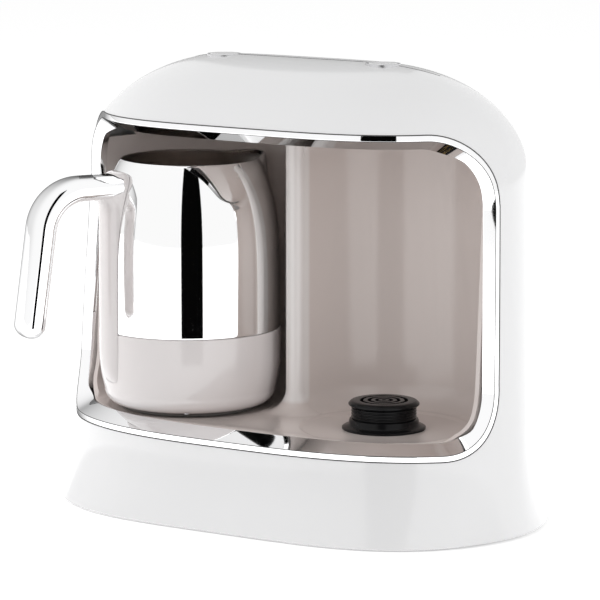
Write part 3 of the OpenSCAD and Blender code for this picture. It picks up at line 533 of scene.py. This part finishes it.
def crest_z(x, y):
    """Height of the dome's surface over (x, y)."""
    low, high = DOME_Z, TOP_Z - 1e-6
    for _ in range(50):
        z = (low + high) / 2
        across, deep = abs(x) / half_w(z), abs(y - mid_y(z)) / max(half_d(z), 1e-6)
        low, high = (z, high) if across ** plan_px(z) + deep ** PLAN_QY < 1 else (low, z)
    return low


def make_seam_shade_line():
    """A dark grey strip in the crest's seam that paints the shade of its gap, in three runs: beside
    and between the buttons.
    """
    bead = arc(0, -0.36, 0.26, 0, 330, 11, 0.5)
    inner, r = BUTTON_X - COLLAR_R - 0.3, REAR_CORNER_R
    side_run = arc(REAR_HALF_W - r, BUTTON_Y + r, r, -85, -45, 20)
    runs = {"middle": [(x, BUTTON_Y) for x in even(-inner, inner, 48)], "right": side_run,
            "left": [(-x, y) for x, y in side_run]}
    for side, run in runs.items():
        rings = []
        for k, (x, y) in enumerate(run):
            (x0, y0), (x1, y1) = run[max(k - 1, 0)], run[min(k + 1, len(run) - 1)]
            across = Vector((y0 - y1, x1 - x0, 0)).normalized()
            at = Vector((x, y, crest_z(x, y)))
            rings.append([at + a * across + Vector((0, 0, b)) for a, b in bead])
        painted_seam_shade = shade(sweep("crest_shade_line_" + side, rings), 60)
        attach(SHADE_AND_REFLECTION_GREY.paint(painted_seam_shade), "housing")


# ---- trim ---------------------------------------------------------------------------------------
def trim_path():
    """Points round the opening, from the middle of the sill up the right side and back."""
    low, high = corner(True, 20), corner(False, 20)
    edge_low, edge_high = side_at(*low[0]).x, side_at(*high[-1]).x
    right = [front_at(edge_low * k / 60, TRIM_LOW_Z) for k in range(60)]
    right += [side_at(y, z) for y, z in low]
    right += [side_at(trim_y(z), z) for z in even(low[-1][1], high[0][1], 30)[1:-1]]
    right += [side_at(y, z) for y, z in high]
    right += [front_at(edge_high * (1 - k / 60), TRIM_TOP_Z) for k in range(1, 61)]
    return right + [Vector((-p.x, p.y, p.z)) for p in reversed(right[1:-1])]


# sections of the trim, and its two fine dark lines (painted shade at its outer edge, a painted dark
# reflection along its ridge), as (into the opening, out of the front)
SILL_SECTION = [(1.4, -1.5), (2.1, -1.5), (6.5, -8.5), (8.0, -8.5), (3.0, 0.4), (0.1, 0.1)]
UPRIGHT_SECTION = [(1.4, -1.5), (1.9, -2.4), (2.6, -8.5), (6.0, -5.7), (3.0, 0.4), (0.1, 0.1)]
TRIM_LINES = {"trim_outer_painted_shade": arc(-0.05, 0.1, 0.24, 0, 315, 7),
              "trim_ridge_painted_reflection": arc(3.0, 0.14, 0.22, 0, 315, 7)}
TRIM_EDGE_R, BLEND_FROM, BLEND_OVER = 0.6, 1.0, 10.0


def trim_section(z):
    """The trim's section at height z: narrower up the sides than along the sill and the top."""
    side = (smooth((z - TRIM_LOW_Z - BLEND_FROM) / BLEND_OVER)
            * smooth((TRIM_TOP_Z - BLEND_FROM - z) / BLEND_OVER))
    return [(lerp(a[0], b[0], side), lerp(a[1], b[1], side))
            for a, b in zip(SILL_SECTION, UPRIGHT_SECTION)]


def along_trim(section_at):
    """Rings round the opening; section_at(z) gives (into the opening, out of the front) pairs."""
    path = trim_path()
    rings = []
    for k, p in enumerate(path):
        along = path[(k + 1) % len(path)] - path[k - 1]
        out = outward(p)
        inward = out.cross(along).normalized()
        rings.append([p + t * inward + n * out for t, n in section_at(p.z)])
    return rings


def make_trim():
    ring = sweep("trim_ring", along_trim(trim_section), closed=True)
    trim = shade(round_edges(ring, TRIM_EDGE_R, 3, 20), 40)
    modify(trim, "WEIGHTED_NORMAL", weight=80, keep_sharp=True)
    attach(CHROME.paint(trim), "housing")
    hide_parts("trim_frame")
    # the two dark lines are painted: shade in the gap at the outer edge, and a dark reflection
    # along the ridge
    for name, bead in TRIM_LINES.items():
        line = sweep(name, along_trim(lambda z: bead), closed=True)
        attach(SHADE_AND_REFLECTION_GREY.paint(shade(line, 60)), "housing")


# ---- liner of the two bays ----------------------------------------------------------------------
NOSE_R = 5.0
NOSE_Y = BAY_Y + math.sqrt((BAY_R + NOSE_R) ** 2 - BAY_X ** 2)
FRONT_LOW, FRONT_HIGH = (10.6, 78.0), (17.6, 165.0)
DISH_R, DISH_DEPTH, COUPLER_HOLE_R = 41.5, 1.0, 15.0
EDGE_LOW_Z, EDGE_HIGH_Z, EDGE_TOP_Z = 52.0, 184.0, 193.2
# how far the liner keeps inside the housing: at the trim's sill and top, and just below the top
UNDER_TRIM, UNDER_TOP = 8.8, 5.0
# the open side's round corners: how far their centres are before the trim's line, and their radius
CHEEK_LOW, CHEEK_HIGH = (21.0, 19.0), (23.0, 21.0)


def bay_loop(grow):
    """Half of a bay's upright section, floor first, as (radius, z) pairs."""
    return (arc(BAY_R - COVE_R, FLOOR_Z + COVE_R, COVE_R + grow, -90, 0, 12)
            + arc(BAY_R - LIP_R, CEILING_Z - LIP_R, LIP_R + grow, 0, 90, 12))


def room_outline(grow):
    """The room in front of the bays seen from the front, as (x, z) pairs."""
    w, (low_r, low_z), (high_r, high_z) = BAY_X + BAY_R, FRONT_LOW, FRONT_HIGH
    half = (arc(w - low_r, low_z, low_r + grow, -90, 0, 16, low_z - FLOOR_Z + grow)
            + arc(w - high_r, high_z, high_r + grow, 0, 90, 16, CEILING_Z - high_z + grow))
    return half + [(-x, z) for x, z in reversed(half)]


def bay_room(grow):
    """The hollow of both bays and the room before them; grown, it is the outside of the liner."""
    floor, ceiling = FLOOR_Z - grow, CEILING_Z + grow
    room = prism("room", room_outline(grow), "Y", -100, BAY_Y + 1 + grow)
    loop = [(AXIS_R, floor)] + bay_loop(grow) + [(AXIS_R, ceiling)]
    sides = [lathe("bay", loop, (s * BAY_X, BAY_Y), 160) for s in (-1, 1)]
    middle = prism("middle", [(-20, floor), (20, floor), (20, ceiling), (-20, ceiling)],
                   "Y", -60, NOSE_Y)
    return boolean(room, "UNION", *sides, middle)


def behind_trim(low, high, z, inset):
    """The space from one height to the next inside the housing's section at z."""
    outline = [(p.x, p.y) for p in (around(2 * math.pi * k / 96, z, inset) for k in range(96))]
    return prism("behind_trim", outline, "Z", low, high)


def make_liner():
    hollow = bay_room(0.0)
    nose = lathe("nose", [(AXIS_R, FLOOR_Z - 4), (NOSE_R + COVE_R, FLOOR_Z - 4)]
                 + arc(NOSE_R + COVE_R, FLOOR_Z + COVE_R, COVE_R, 270, 180, 16)
                 + [(NOSE_R, CEILING_Z + 4), (AXIS_R, CEILING_Z + 4)], (0, NOSE_Y), 96)
    boolean(hollow, "DIFFERENCE", nose)
    liner = bay_room(LINER_WALL)
    low_z, high_z = FRONT_LOW[1], FRONT_HIGH[1]
    low_y, high_y = trim_y(low_z) - CHEEK_LOW[0], trim_y(high_z) - CHEEK_HIGH[0]
    side_outline = ([(-FOOT_D, FLOOR_Z)]
                    + arc(low_y, low_z, CHEEK_LOW[1], -90, 0, 16, low_z - FLOOR_Z)
                    + arc(high_y, high_z, CHEEK_HIGH[1], 0, 90, 16, CEILING_Z - high_z)
                    + [(-FOOT_D, CEILING_Z)])
    open_side = prism("open_side", side_outline, "X", -FOOT_W, FOOT_W)
    keep = behind_trim(FLOOR_Z - 9, EDGE_LOW_Z, FLOOR_Z, UNDER_TRIM)
    boolean(keep, "UNION", behind_trim(EDGE_LOW_Z, EDGE_HIGH_Z, FLOOR_Z, 0),
            behind_trim(EDGE_HIGH_Z, EDGE_TOP_Z, CEILING_Z + LINER_WALL, UNDER_TOP),
            behind_trim(EDGE_TOP_Z, TRIM_TOP_Z + 5, TRIM_TOP_Z, UNDER_TRIM))
    dish = [(AXIS_R, FLOOR_Z - DISH_DEPTH), (DISH_R - 1.5, FLOOR_Z - DISH_DEPTH),
            (DISH_R - 0.4, FLOOR_Z - 0.75), (DISH_R + 0.6, FLOOR_Z - 0.25), (DISH_R + 1.5, FLOOR_Z),
            (DISH_R + 1.5, FLOOR_Z + 2), (AXIS_R, FLOOR_Z + 2)]
    dishes = [lathe("dish", dish, (s * BAY_X, BAY_Y), 128) for s in (-1, 1)]
    low, high = FLOOR_Z - 10, FLOOR_Z + 10
    hole = [(AXIS_R, low), (COUPLER_HOLE_R, low), (COUPLER_HOLE_R, high), (AXIS_R, high)]
    holes = [lathe("hole", hole, (s * BAY_X, BAY_Y), 64) for s in (-1, 1)]
    boolean(liner, "DIFFERENCE", hollow, open_side)
    boolean(liner, "INTERSECT", keep)
    boolean(liner, "DIFFERENCE", *dishes, *holes)
    shade(liner, 30)
    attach(LINER.paint(liner), "housing")
    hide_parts("bay_liner")


# ---- couplers -----------------------------------------------------------------------------------
COUPLER_TOP, CAP_R, NECK_R, FLANGE_R = 63.4, 17.8, 16.35, 21.0
COUPLER_LOW, COUPLER_SEAT, CORE_R, GROOVE_Z = 33.0, 49.05, 14.7, 57.05
GROOVES = [(2.9, 4.5), (6.6, 8.2), (10.4, 12.0)]  # inner and outer radius


def coupler_loop():
    """Half of a coupler's section: core, flange, ribbed neck, cap and the three ring grooves."""
    side = [(FLANGE_R, COUPLER_SEAT), (FLANGE_R, 49.9), (FLANGE_R - 0.5, 50.25), (19.4, 50.6),
            (18.2, 51.2), (17.6, 52.1), (17.5, 53.4), (17.1, 54.1)]
    neck = []
    for k in range(4):
        z = 54.5 + 1.5 * k
        neck += [(NECK_R - 0.35, z), (NECK_R, z + 0.4), (NECK_R, z + 0.9), (NECK_R - 0.35, z + 1.2)]
    cap = [(CAP_R - 0.4, 60.9), (CAP_R, 61.3), (CAP_R, 61.9), (CAP_R - 0.5, 62.5),
           (CAP_R - 1.4, 63.2), (CAP_R - 2.2, COUPLER_TOP)]
    top = []
    for inner, outer in reversed(GROOVES):
        top += [(outer + 0.25, COUPLER_TOP), (outer, COUPLER_TOP - 0.25), (outer, GROOVE_Z),
                (inner, GROOVE_Z), (inner, COUPLER_TOP - 0.25), (inner - 0.25, COUPLER_TOP)]
    core = [(AXIS_R, COUPLER_LOW), (CORE_R, COUPLER_LOW), (CORE_R, COUPLER_SEAT)]
    return (core + side + neck + cap + top
            + [(1.2, COUPLER_TOP), (1.2, COUPLER_TOP - 1), (AXIS_R, COUPLER_TOP - 1)])


def make_couplers():
    for s, side in ((-1, "left"), (1, "right")):
        coupler = lathe(side + "_coupler_turned", coupler_loop(), (s * BAY_X, BAY_Y), 128)
        shade(coupler, 35)
        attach(COUPLER_BLACK.paint(coupler), "housing")
        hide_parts(side + "_coupler")


# ---- push buttons -------------------------------------------------------------------------------
FLANGE_Z, SEAT_Z, BUTTON_FLANGE_R, RING_FLANGE_R = (217.3, 218.9), 219.0, 9.3, 10.5
BUTTON_EDGE_R, BUTTON_GAP, DISH_IN_CAP = 1.1, 0.15, 0.4


def make_buttons():
    """The dished caps, and the rings that they stand in."""
    low, top = FLANGE_Z
    edge = arc(BUTTON_R - BUTTON_EDGE_R, BUTTON_TOP_Z - BUTTON_EDGE_R, BUTTON_EDGE_R, 0, 90, 8)
    dish = [(BUTTON_R - 2.4, BUTTON_TOP_Z - 0.12), (3.0, BUTTON_TOP_Z - 0.35),
            (AXIS_R, BUTTON_TOP_Z - DISH_IN_CAP)]
    cap_loop = ([(AXIS_R, low), (BUTTON_FLANGE_R, low), (BUTTON_FLANGE_R, top), (BUTTON_R, top)]
                + edge + dish)
    inner, seat_top = BUTTON_R + BUTTON_GAP, SEAT_Z + 1.2
    ring_loop = ([(inner, SEAT_Z), (RING_FLANGE_R, SEAT_Z), (RING_FLANGE_R, seat_top),
                  (COLLAR_R, seat_top)]
                 + arc(COLLAR_R - 0.3, RING_TOP_Z - 0.3, 0.3, 0, 90, 4)
                 + arc(inner + 0.2, RING_TOP_Z - 0.2, 0.2, 90, 180, 4))
    for s, side in ((-1, "left"), (1, "right")):
        at = (s * BUTTON_X, BUTTON_Y)
        cap = lathe(side + "_button_top", cap_loop, at, 96)
        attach(BUTTON_WHITE.paint(shade(cap, 35)), side + "_button")
        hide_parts(side + "_button_cap")
        ring = lathe(side + "_button_ring", ring_loop, at, 96)
        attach(RING_SATIN.paint(shade(ring, 35)), "housing")
        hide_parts(side + "_button_collar")


# ---- jug ----------------------------------------------------------------------------------------
CUP_WALL, BASE_WALL, CUP_FLOOR, CUP_FLOOR_R, LIP_OUT = 0.8, 2.2, 78.0, 40.0, 6.5
COLUMN_MID, COLUMN_OUT, COLUMN_LOW, COLUMN_HIGH = 41.0, 8.8, 62.0, ARM_Z + GRIP_HT + 1.2
CUP_STRAIGHT_Z, LIP_DEEP, LIP_HALF_ANGLE, LIP_UP = 100.0, 20.0, 34.0, 1.7
BULGE_Z, BULGE_IN, BASE_FOOT_R, BASE_CORNER = 78.0, 2.5, 36.0, 8.0
SEAT_R = JUG_R - 1.2
GAP = 0.15


def on_handle(x, y, z):
    """From the handle's own frame, whose X runs along the handle, into the object's."""
    c, s = math.cos(math.radians(-90 - HANDLE_TURN)), math.sin(math.radians(-90 - HANDLE_TURN))
    return Vector((-BAY_X + x * c - y * s, BAY_Y + x * s + y * c, z))


def cup_r(z):
    """The cup's radius: straight up to CUP_STRAIGHT_Z, then drawn in to the rim."""
    above = max(0.0, z - CUP_STRAIGHT_Z) / (RIM_Z - CUP_STRAIGHT_Z)
    return JUG_R - (JUG_R - RIM_R) * above ** 4


def cup_profile():
    """The cup's section: from the middle of its foot up the outside, and down the inside."""
    foot_r = JUG_R - BASE_WALL - 0.9
    wall = even(BAND_Z + 1.2, CUP_STRAIGHT_Z, 5)[:-1]
    wall += [lerp(CUP_STRAIGHT_Z, RIM_Z - 0.9, math.sin(math.pi / 2 * k / 30)) for k in range(31)]
    outside = ([(0, CUP_FLOOR - 1), (foot_r - 4, CUP_FLOOR - 1)]
               + arc(foot_r - 4, CUP_FLOOR + 3, 4, -80, 0, 6)
               + [(foot_r, BAND_Z + 0.1), (JUG_R - 0.5, BAND_Z + 0.1)]
               + arc(JUG_R - 0.5, BAND_Z + 0.6, 0.5, -60, 0, 4) + [(cup_r(z), z) for z in wall])
    rim = arc(RIM_R - 0.45, RIM_Z - 0.55, 0.55, 10, 170, 8)
    inside = [(cup_r(z) - CUP_WALL, z) for z in reversed(wall[1:])]
    inside += [(JUG_R - CUP_WALL - 0.4, BAND_Z + 0.95), (foot_r - CUP_WALL, BAND_Z + 0.9)]
    inside += arc(foot_r - 4, CUP_FLOOR + 3, 3.2, 0, -90, 6) + [(0, CUP_FLOOR - 0.2)]
    return outside + rim + inside


def lipped(r, z, turn):
    """Draws the rim out into the pouring lip, opposite the handle."""
    off = abs(math.degrees(turn) % 360 - 180)
    near = smooth(1 - off / LIP_HALF_ANGLE)
    high = smooth((z - (RIM_Z - LIP_DEEP)) / LIP_DEEP) ** 1.6
    return r + LIP_OUT * near * high, z + LIP_UP * near * high


def make_cup():
    """The cup, polished outside and over the rim, satin inside."""
    profile, n = cup_profile(), 160

    def at(i, j):
        turn = 2 * math.pi * (i % n) / n
        r, z = lipped(*profile[j], turn)
        return on_handle(r * math.cos(turn), r * math.sin(turn), z)

    cup = in_edit(formed_grid("steel_cup", n, len(profile) - 1, at), face_out)
    CUP_STEEL.paint(shade(cup, 50))
    cup.data.materials.append(CUP_SATIN.material)
    for face in cup.data.polygons:
        away = Vector((face.center.x + BAY_X * MM, face.center.y - BAY_Y * MM, 0))
        is_floor = away.length < CUP_FLOOR_R * MM and face.normal.z > 0.5
        facing_in = away.dot(face.normal) < 0 or is_floor
        face.material_index = 1 if facing_in and face.center.z < (RIM_Z - 1) * MM else 0
    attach(cup, "jug")
    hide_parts("jug_cup")


def base_r(z):
    """The jug base's radius, which draws in a little below BULGE_Z."""
    below = max(0.0, BULGE_Z - z) / (BULGE_Z - JUG_LOW_Z - BASE_CORNER)
    return JUG_R + 0.1 - BULGE_IN * below ** 2


def fade(t):
    """A quarter-round rise from nearly 0 to 1, as t goes from 0 to 1."""
    return math.sqrt(max(0.02, 1 - (1 - t) ** 2)) if t < 1 else 1.0


def column_form(name, gap):
    """The upright column that joins the arm to the jug's base, with a fillet under the arm."""
    levels = [lerp(COLUMN_LOW, COLUMN_HIGH, 0.5 - 0.5 * math.cos(math.pi * k / 60))
              for k in range(61)]
    fillet_r = 6.0
    rings = []
    for z in levels:
        reach = COLUMN_OUT * fade((z - COLUMN_LOW) / 18) * fade((COLUMN_HIGH - z) / 9)
        width = GRIP_HW * (0.55 + 0.45 * reach / COLUMN_OUT) + gap
        under = clamp01((z - (ARM_Z - GRIP_HT - fillet_r)) / fillet_r) if z < ARM_Z else 0.0
        fillet = fillet_r * (1 - math.sqrt(1 - under ** 2))
        ring = []
        for k in range(72):
            c, s = math.cos(2 * math.pi * k / 72), math.sin(2 * math.pi * k / 72)
            x = COLUMN_MID + (reach + gap) * math.copysign(abs(c) ** 0.8, c) + fillet * max(0.0, c)
            ring.append(on_handle(x, width * math.copysign(abs(s) ** 0.8, s), z))
        rings.append(ring)
    return sweep(name, rings)


def make_jug_base():
    low, floor_in = JUG_LOW_Z + BASE_CORNER, JUG_LOW_Z + 4.3
    r_low = base_r(low)
    heights = even(low, BAND_Z - 0.5, 24)
    loop = ([(BASE_FOOT_R, JUG_LOW_Z)] + arc(r_low - BASE_CORNER, low, BASE_CORNER, -90, 0, 16)
            + [(base_r(z), z) for z in heights[1:]]
            + arc(base_r(BAND_Z) - 0.5, BAND_Z - 0.5, 0.5, 0, 90, 4)
            + [(base_r(z) - BASE_WALL, z) for z in reversed([h for h in heights if h > 60])]
            + [(r_low - BASE_WALL, floor_in), (BASE_FOOT_R, floor_in)])
    base = lathe("jug_base_round", loop, (-BAY_X, BAY_Y), 160)
    notch = column_form("notch", GAP)
    core = lathe("seat", [(AXIS_R, 40), (SEAT_R, 40), (SEAT_R, 120), (AXIS_R, 120)],
                 (-BAY_X, BAY_Y), 160)
    boolean(notch, "DIFFERENCE", core)
    boolean(base, "DIFFERENCE", notch)
    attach(PEARL.paint(shade(base, 35)), "jug")
    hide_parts("jug_base_shell")


# ---- handle -------------------------------------------------------------------------------------
COVER_FROM, COVER_WALL, COVER_A0, COVER_A1, ARM_FROM = 42.0, 1.1, -28, 208, 37.0
ELBOW_CZ = ARM_Z - ELBOW_R
TIP_ANGLES = range(6, 91, 6)


def stations(start):
    """The handle's centreline from the jug: distance, height and heading, in the handle's frame."""
    turn = math.radians(ELBOW_TURN)
    line = [(x, ARM_Z, 0.0) for x in even(start, ELBOW_AT, 6)[:-1]]
    line += [(ELBOW_AT + ELBOW_R * math.sin(a), ELBOW_CZ + ELBOW_R * math.cos(a), a)
             for a in even(0.0, turn, 28)]
    x, z, _ = line[-1]
    return line + [(x + math.cos(turn) * reach, z - math.sin(turn) * reach, turn)
                   for reach in even(0.0, GRIP_L, 12)[1:]]


def oblong(a, inset):
    """A point of the handle's section at angle a, in degrees from its side, as (across, up)."""
    c, s = math.cos(math.radians(a)), math.sin(math.radians(a))
    return ((GRIP_HW - inset) * math.copysign(abs(c) ** 0.62, c),
            (GRIP_HT - inset) * math.copysign(abs(s) ** 0.72, s))


def placed(q, station, k=1.0):
    """The section's point q at a station, drawn in by the factor k."""
    x, z, heading = station
    return on_handle(x + k * q[1] * math.sin(heading), k * q[0], z + k * q[1] * math.cos(heading))


def tip(a, inset):
    """A station in the rounded end of the grip; a runs from 0 to 90 degrees."""
    x, z, turn = stations(0)[-1]
    reach = (GRIP_HT - inset) * math.sin(math.radians(a))
    return x + math.cos(turn) * reach, z - math.sin(turn) * reach, turn


def make_moulding():
    """The pearl moulding: arm, grip and column in one, under the cover and round the jug."""
    inset = COVER_WALL + GAP
    covered = even(COVER_A0, COVER_A1, 59)
    section = [oblong(a, inset) for a in covered]
    section += [oblong(a, 0) for a in even(COVER_A1 + 1.5, COVER_A0 + 358.5, 30)]
    rings = [[placed(q, st) for q in section] for st in stations(ARM_FROM)]
    for a in TIP_ANGLES:
        drawn_in = max(0.03, math.cos(math.radians(a)) - 0.06 * a / 90)
        rings.append([placed(q, tip(a, inset + 0.2), drawn_in) for q in section])
    body = sweep("handle_core", rings)
    column = column_form("column", 0.0)
    room = sweep("cover_room", [[placed(oblong(a, -GAP), (x, ARM_Z, 0.0)) for a in covered]
                                for x in (COVER_FROM - GAP, 75.0)])
    boolean(column, "DIFFERENCE", room)
    boolean(body, "UNION", column)
    heights = [lerp(CUP_STRAIGHT_Z, RIM_Z, math.sin(math.pi / 2 * k / 24)) for k in range(25)]
    jug_side = ([(AXIS_R, 50), (SEAT_R + GAP, 50), (SEAT_R + GAP, BAND_Z - 0.8),
                 (JUG_R + GAP, BAND_Z - 0.2)]
                + [(cup_r(z) + GAP, z) for z in heights] + [(RIM_R, 190), (AXIS_R, 190)])
    boolean(body, "DIFFERENCE", lathe("jug_side", jug_side, (-BAY_X, BAY_Y), 160))
    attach(PEARL.paint(shade(body, 40)), "jug")
    body.name = body.data.name = "handle_moulding"
    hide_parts("handle_body")


def make_cover():
    """The chromed cover: a thin open channel along arm and grip, closed round the tip."""
    angles = even(COVER_A0, COVER_A1, 71)

    def channel(station, outer=1.0, inner=1.0):
        return ([placed(oblong(b, 0), station, outer) for b in angles]
                + [placed(oblong(b, COVER_WALL), station, inner) for b in reversed(angles)])

    rings = [channel(st) for st in stations(COVER_FROM)]
    for a in TIP_ANGLES:
        s = math.sin(math.radians(a)) * GRIP_HT / (GRIP_HT - COVER_WALL)
        inner = max(0.02, math.sqrt(max(0.0, 1 - s * s)))
        outer = max(math.cos(math.radians(a)), 0.05)
        rings.append(channel(tip(a, 0), outer, min(inner, outer - 0.01)))
    cover = shade(sweep("handle_chrome_cover", rings), 35)
    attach(CHROME.paint(cover), "jug")
    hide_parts("handle_cover")


# ---- small parts kept from the CAD --------------------------------------------------------------
def smoothed(node, angle=35):
    """A merged, smoothly shaded copy of a CAD node, which stands in its place."""
    source = bpy.data.objects[node]
    piece = bpy.data.objects.new(node + "_smooth", source.data.copy())
    bpy.context.scene.collection.objects.link(piece)
    piece.matrix_world = source.matrix_world.copy()
    in_edit(piece, merge)
    shade(piece, angle)
    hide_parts(node)
    return piece


FINISHES = {
    "housing_white": WHITE, "button_white": BUTTON_WHITE, "liner_greige": LINER, "jug_pearl": PEARL,
    "trim_chrome": CHROME, "collar_chrome": CHROME, "handle_chrome": CHROME, "cup_steel": CUP_STEEL,
    "coupler_black": COUPLER_BLACK,
    "base_plastic": moulded("base_plate_matt", (0.72, 0.72, 0.72), 0.5, grain=0.1, tint=0.03),
    "cover_grey": moulded("jug_cover_matt", (0.14, 0.135, 0.13), 0.5, grain=0.1, tint=0.08),
    "inner_black": moulded("inner_black", (0.02, 0.02, 0.022), 0.45, grain=0.08, tint=0.15),
    "gland_black": rubbery("gland_black_rubber", (0.018, 0.018, 0.02), 0.6),
    "foot_rubber": rubbery("foot_grey_rubber", (0.06, 0.06, 0.062)),
    "seal_silicone": rubbery("seal_silicone", (0.55, 0.54, 0.52), 0.5),
    "relay_case": moulded("relay_blue", (0.03, 0.12, 0.42), 0.4, tint=0.05),
    "transformer_tape": moulded("transformer_tape", (0.62, 0.42, 0.05), 0.4, tint=0.06),
    "fuse_ceramic": moulded("fuse_ceramic", (0.68, 0.6, 0.48), 0.7, grain=0.1, tint=0.05),
    "board_green": circuit("board_green"),
    "contact_brass": turned_steel("contact_brass", (0.78, 0.6, 0.28), 0.2),
    "spring_steel": turned_steel("spring_steel", (0.6, 0.6, 0.62), 0.3),
    "screw_steel": turned_steel("screw_zinc", (0.68, 0.68, 0.7), 0.28),
    "sink_aluminium": turned_steel("sink_aluminium", (0.8, 0.8, 0.82), 0.38, 300),
    "heater_aluminium": turned_steel("heater_aluminium", (0.74, 0.74, 0.75), 0.4, 500),
    "element_steel": turned_steel("element_steel", (0.32, 0.3, 0.29), 0.45, 200),
}
SMOOTHED = ("cord_gland", "rear_screws", "base_screws", "rubber_feet", "jug_base_cover",
            "jug_cover_screws")


def finish_cad_nodes():
    """Every CAD node gets its slot's finish; the small ones on show get smooth copies."""
    slots = {row["node"]: row["material_slot"] for row in frame["record"]["subparts"]}
    for node, slot in slots.items():
        FINISHES[slot].paint(NODES[node])
    for node in SMOOTHED:
        body = "jug" if node.startswith("jug") else "housing"
        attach(smoothed(node), body)


make_housing()
make_seam_shade_line()
make_trim()
make_liner()
make_couplers()
make_buttons()
make_cup()
make_jug_base()
make_moulding()
make_cover()
finish_cad_nodes()


# ---- stage: floor, light and camera -------------------------------------------------------------
FLOOR_LIFT, FLOOR_IN_MIRROR, SKY_LIGHT = 0.43, 2.2, 0.6
CAMERA_TURN, CAMERA_TILT, CAMERA_AWAY, CAMERA_LENS = 32.4, 9.36, 1.877, 221.1
LOOK_AT = Vector((-0.00048, -0.00031, 0.1067))
FLAG_BLACK = Finish("flag_velvet", (0.002, 0.002, 0.002), 1.0, specular_ior_level=0.0)
CARD_GREY = Finish("card_grey", (0.5, 0.5, 0.5), 1.0, specular_ior_level=0.0)


def flag(name, at, wide, tall, face, finish):
    """A studio card that only reflections see; face is its bearing, to the right of the front."""
    only()
    bpy.ops.mesh.primitive_plane_add(size=1)
    card = bpy.context.object
    card.scale = (wide * MM, tall * MM, 1)
    card.rotation_euler = (math.pi / 2, 0, math.radians(face))
    card.location = Vector(at) * MM
    settle(card, name)
    card.visible_camera = card.visible_diffuse = False
    card.visible_shadow = card.visible_transmission = False
    finish.paint(card)


def make_floor():
    """Pale paper, lifted to white for the camera and in mirrors; it still takes a shadow."""
    only()
    bpy.ops.mesh.primitive_plane_add(size=12)
    floor = settle(bpy.context.object, "studio_floor")
    f = Finish("studio_paper", (0.9, 0.9, 0.9), 0.9)
    f.shader.inputs["Specular IOR Level"].default_value = 0.0
    ray = f.tree.nodes.new("ShaderNodeLightPath")
    seen = f.mix(Field(f, ray.outputs["Is Camera Ray"]), (0, 0, 0), (1, 1, 1))
    f.shader.inputs["Emission Strength"].default_value = FLOOR_LIFT
    mirrored = (FLOOR_IN_MIRROR, FLOOR_IN_MIRROR, FLOOR_IN_MIRROR)
    f.feed("Emission Color", f.mix(Field(f, ray.outputs["Is Glossy Ray"]), seen, mirrored))
    f.paint(floor)


def make_backdrop():
    """A white surround to the camera, in mirrors and through glass; soft light for all else."""
    world = bpy.data.worlds.new("studio")
    bpy.context.scene.world = world
    world.use_nodes = True
    tree = world.node_tree
    link = tree.links.new
    soft, plain = tree.nodes["Background"], tree.nodes.new("ShaderNodeBackground")
    for background in (soft, plain):
        background.inputs["Color"].default_value = (1, 1, 1, 1)
    soft.inputs["Strength"].default_value = SKY_LIGHT
    rays = tree.nodes.new("ShaderNodeLightPath").outputs
    straight_ray = rays["Is Camera Ray"]
    for kind in ("Is Glossy Ray", "Is Transmission Ray"):
        either = tree.nodes.new("ShaderNodeMath")
        either.operation, either.use_clamp = "ADD", True
        link(straight_ray, either.inputs[0])
        link(rays[kind], either.inputs[1])
        straight_ray = either.outputs[0]
    mix = tree.nodes.new("ShaderNodeMixShader")
    for socket, output in enumerate((straight_ray, soft.outputs[0], plain.outputs[0])):
        link(output, mix.inputs[socket])
    link(mix.outputs[0], tree.nodes["World Output"].inputs["Surface"])


def lamp(name, at, aim, size, power):
    """A round softbox that mirrors don't see; metres and watts."""
    data = bpy.data.lights.new(name, "AREA")
    data.shape, data.size, data.energy = "DISK", size, power
    light = bpy.data.objects.new(name, data)
    bpy.context.scene.collection.objects.link(light)
    light.visible_glossy = False
    light.location = at
    light.rotation_euler = (Vector(aim) - Vector(at)).to_track_quat("-Z", "Y").to_euler()


def make_stage():
    """Floor, surround, cards and lamps; they go with the looks and aren't part of the object."""
    bpy.context.scene.view_settings.view_transform = "Standard"
    make_floor()
    make_backdrop()
    flag("front_flag", (215, -374, 330), 210, 900, 28, FLAG_BLACK)
    flag("back_card", (-636, 1018, 300), 420, 1500, 212, CARD_GREY)
    lamp("left_softbox", (-1.8, -0.6, 0.5), (0, 0, 0.1), 1.2, 12)
    lamp("right_softbox", (1.8, -0.1, 0.5), (0, 0, 0.12), 1.2, 9)
    lamp("front_softbox", (-0.6, -2.1, 0.8), (0, 0, 0.1), 1.0, 5)
    lamp("top_softbox", (-0.3, -0.4, 2.2), (0, 0, 0.1), 1.2, 4)


def make_camera():
    """The photograph's view, from the front right and a little above."""
    turn, tilt = math.radians(CAMERA_TURN), math.radians(CAMERA_TILT)
    forward = Vector((-math.sin(turn) * math.cos(tilt), math.cos(turn) * math.cos(tilt),
                      -math.sin(tilt)))
    data = bpy.data.cameras.new("photo_camera")
    data.sensor_width, data.lens = 36.0, CAMERA_LENS
    data.clip_start, data.clip_end = 0.05, 50
    camera = bpy.data.objects.new("photo_camera", data)
    bpy.context.scene.collection.objects.link(camera)
    camera.location = LOOK_AT - forward * CAMERA_AWAY
    camera.rotation_euler = forward.to_track_quat("-Z", "Y").to_euler()
    bpy.context.scene.camera = camera


make_stage()
make_camera()
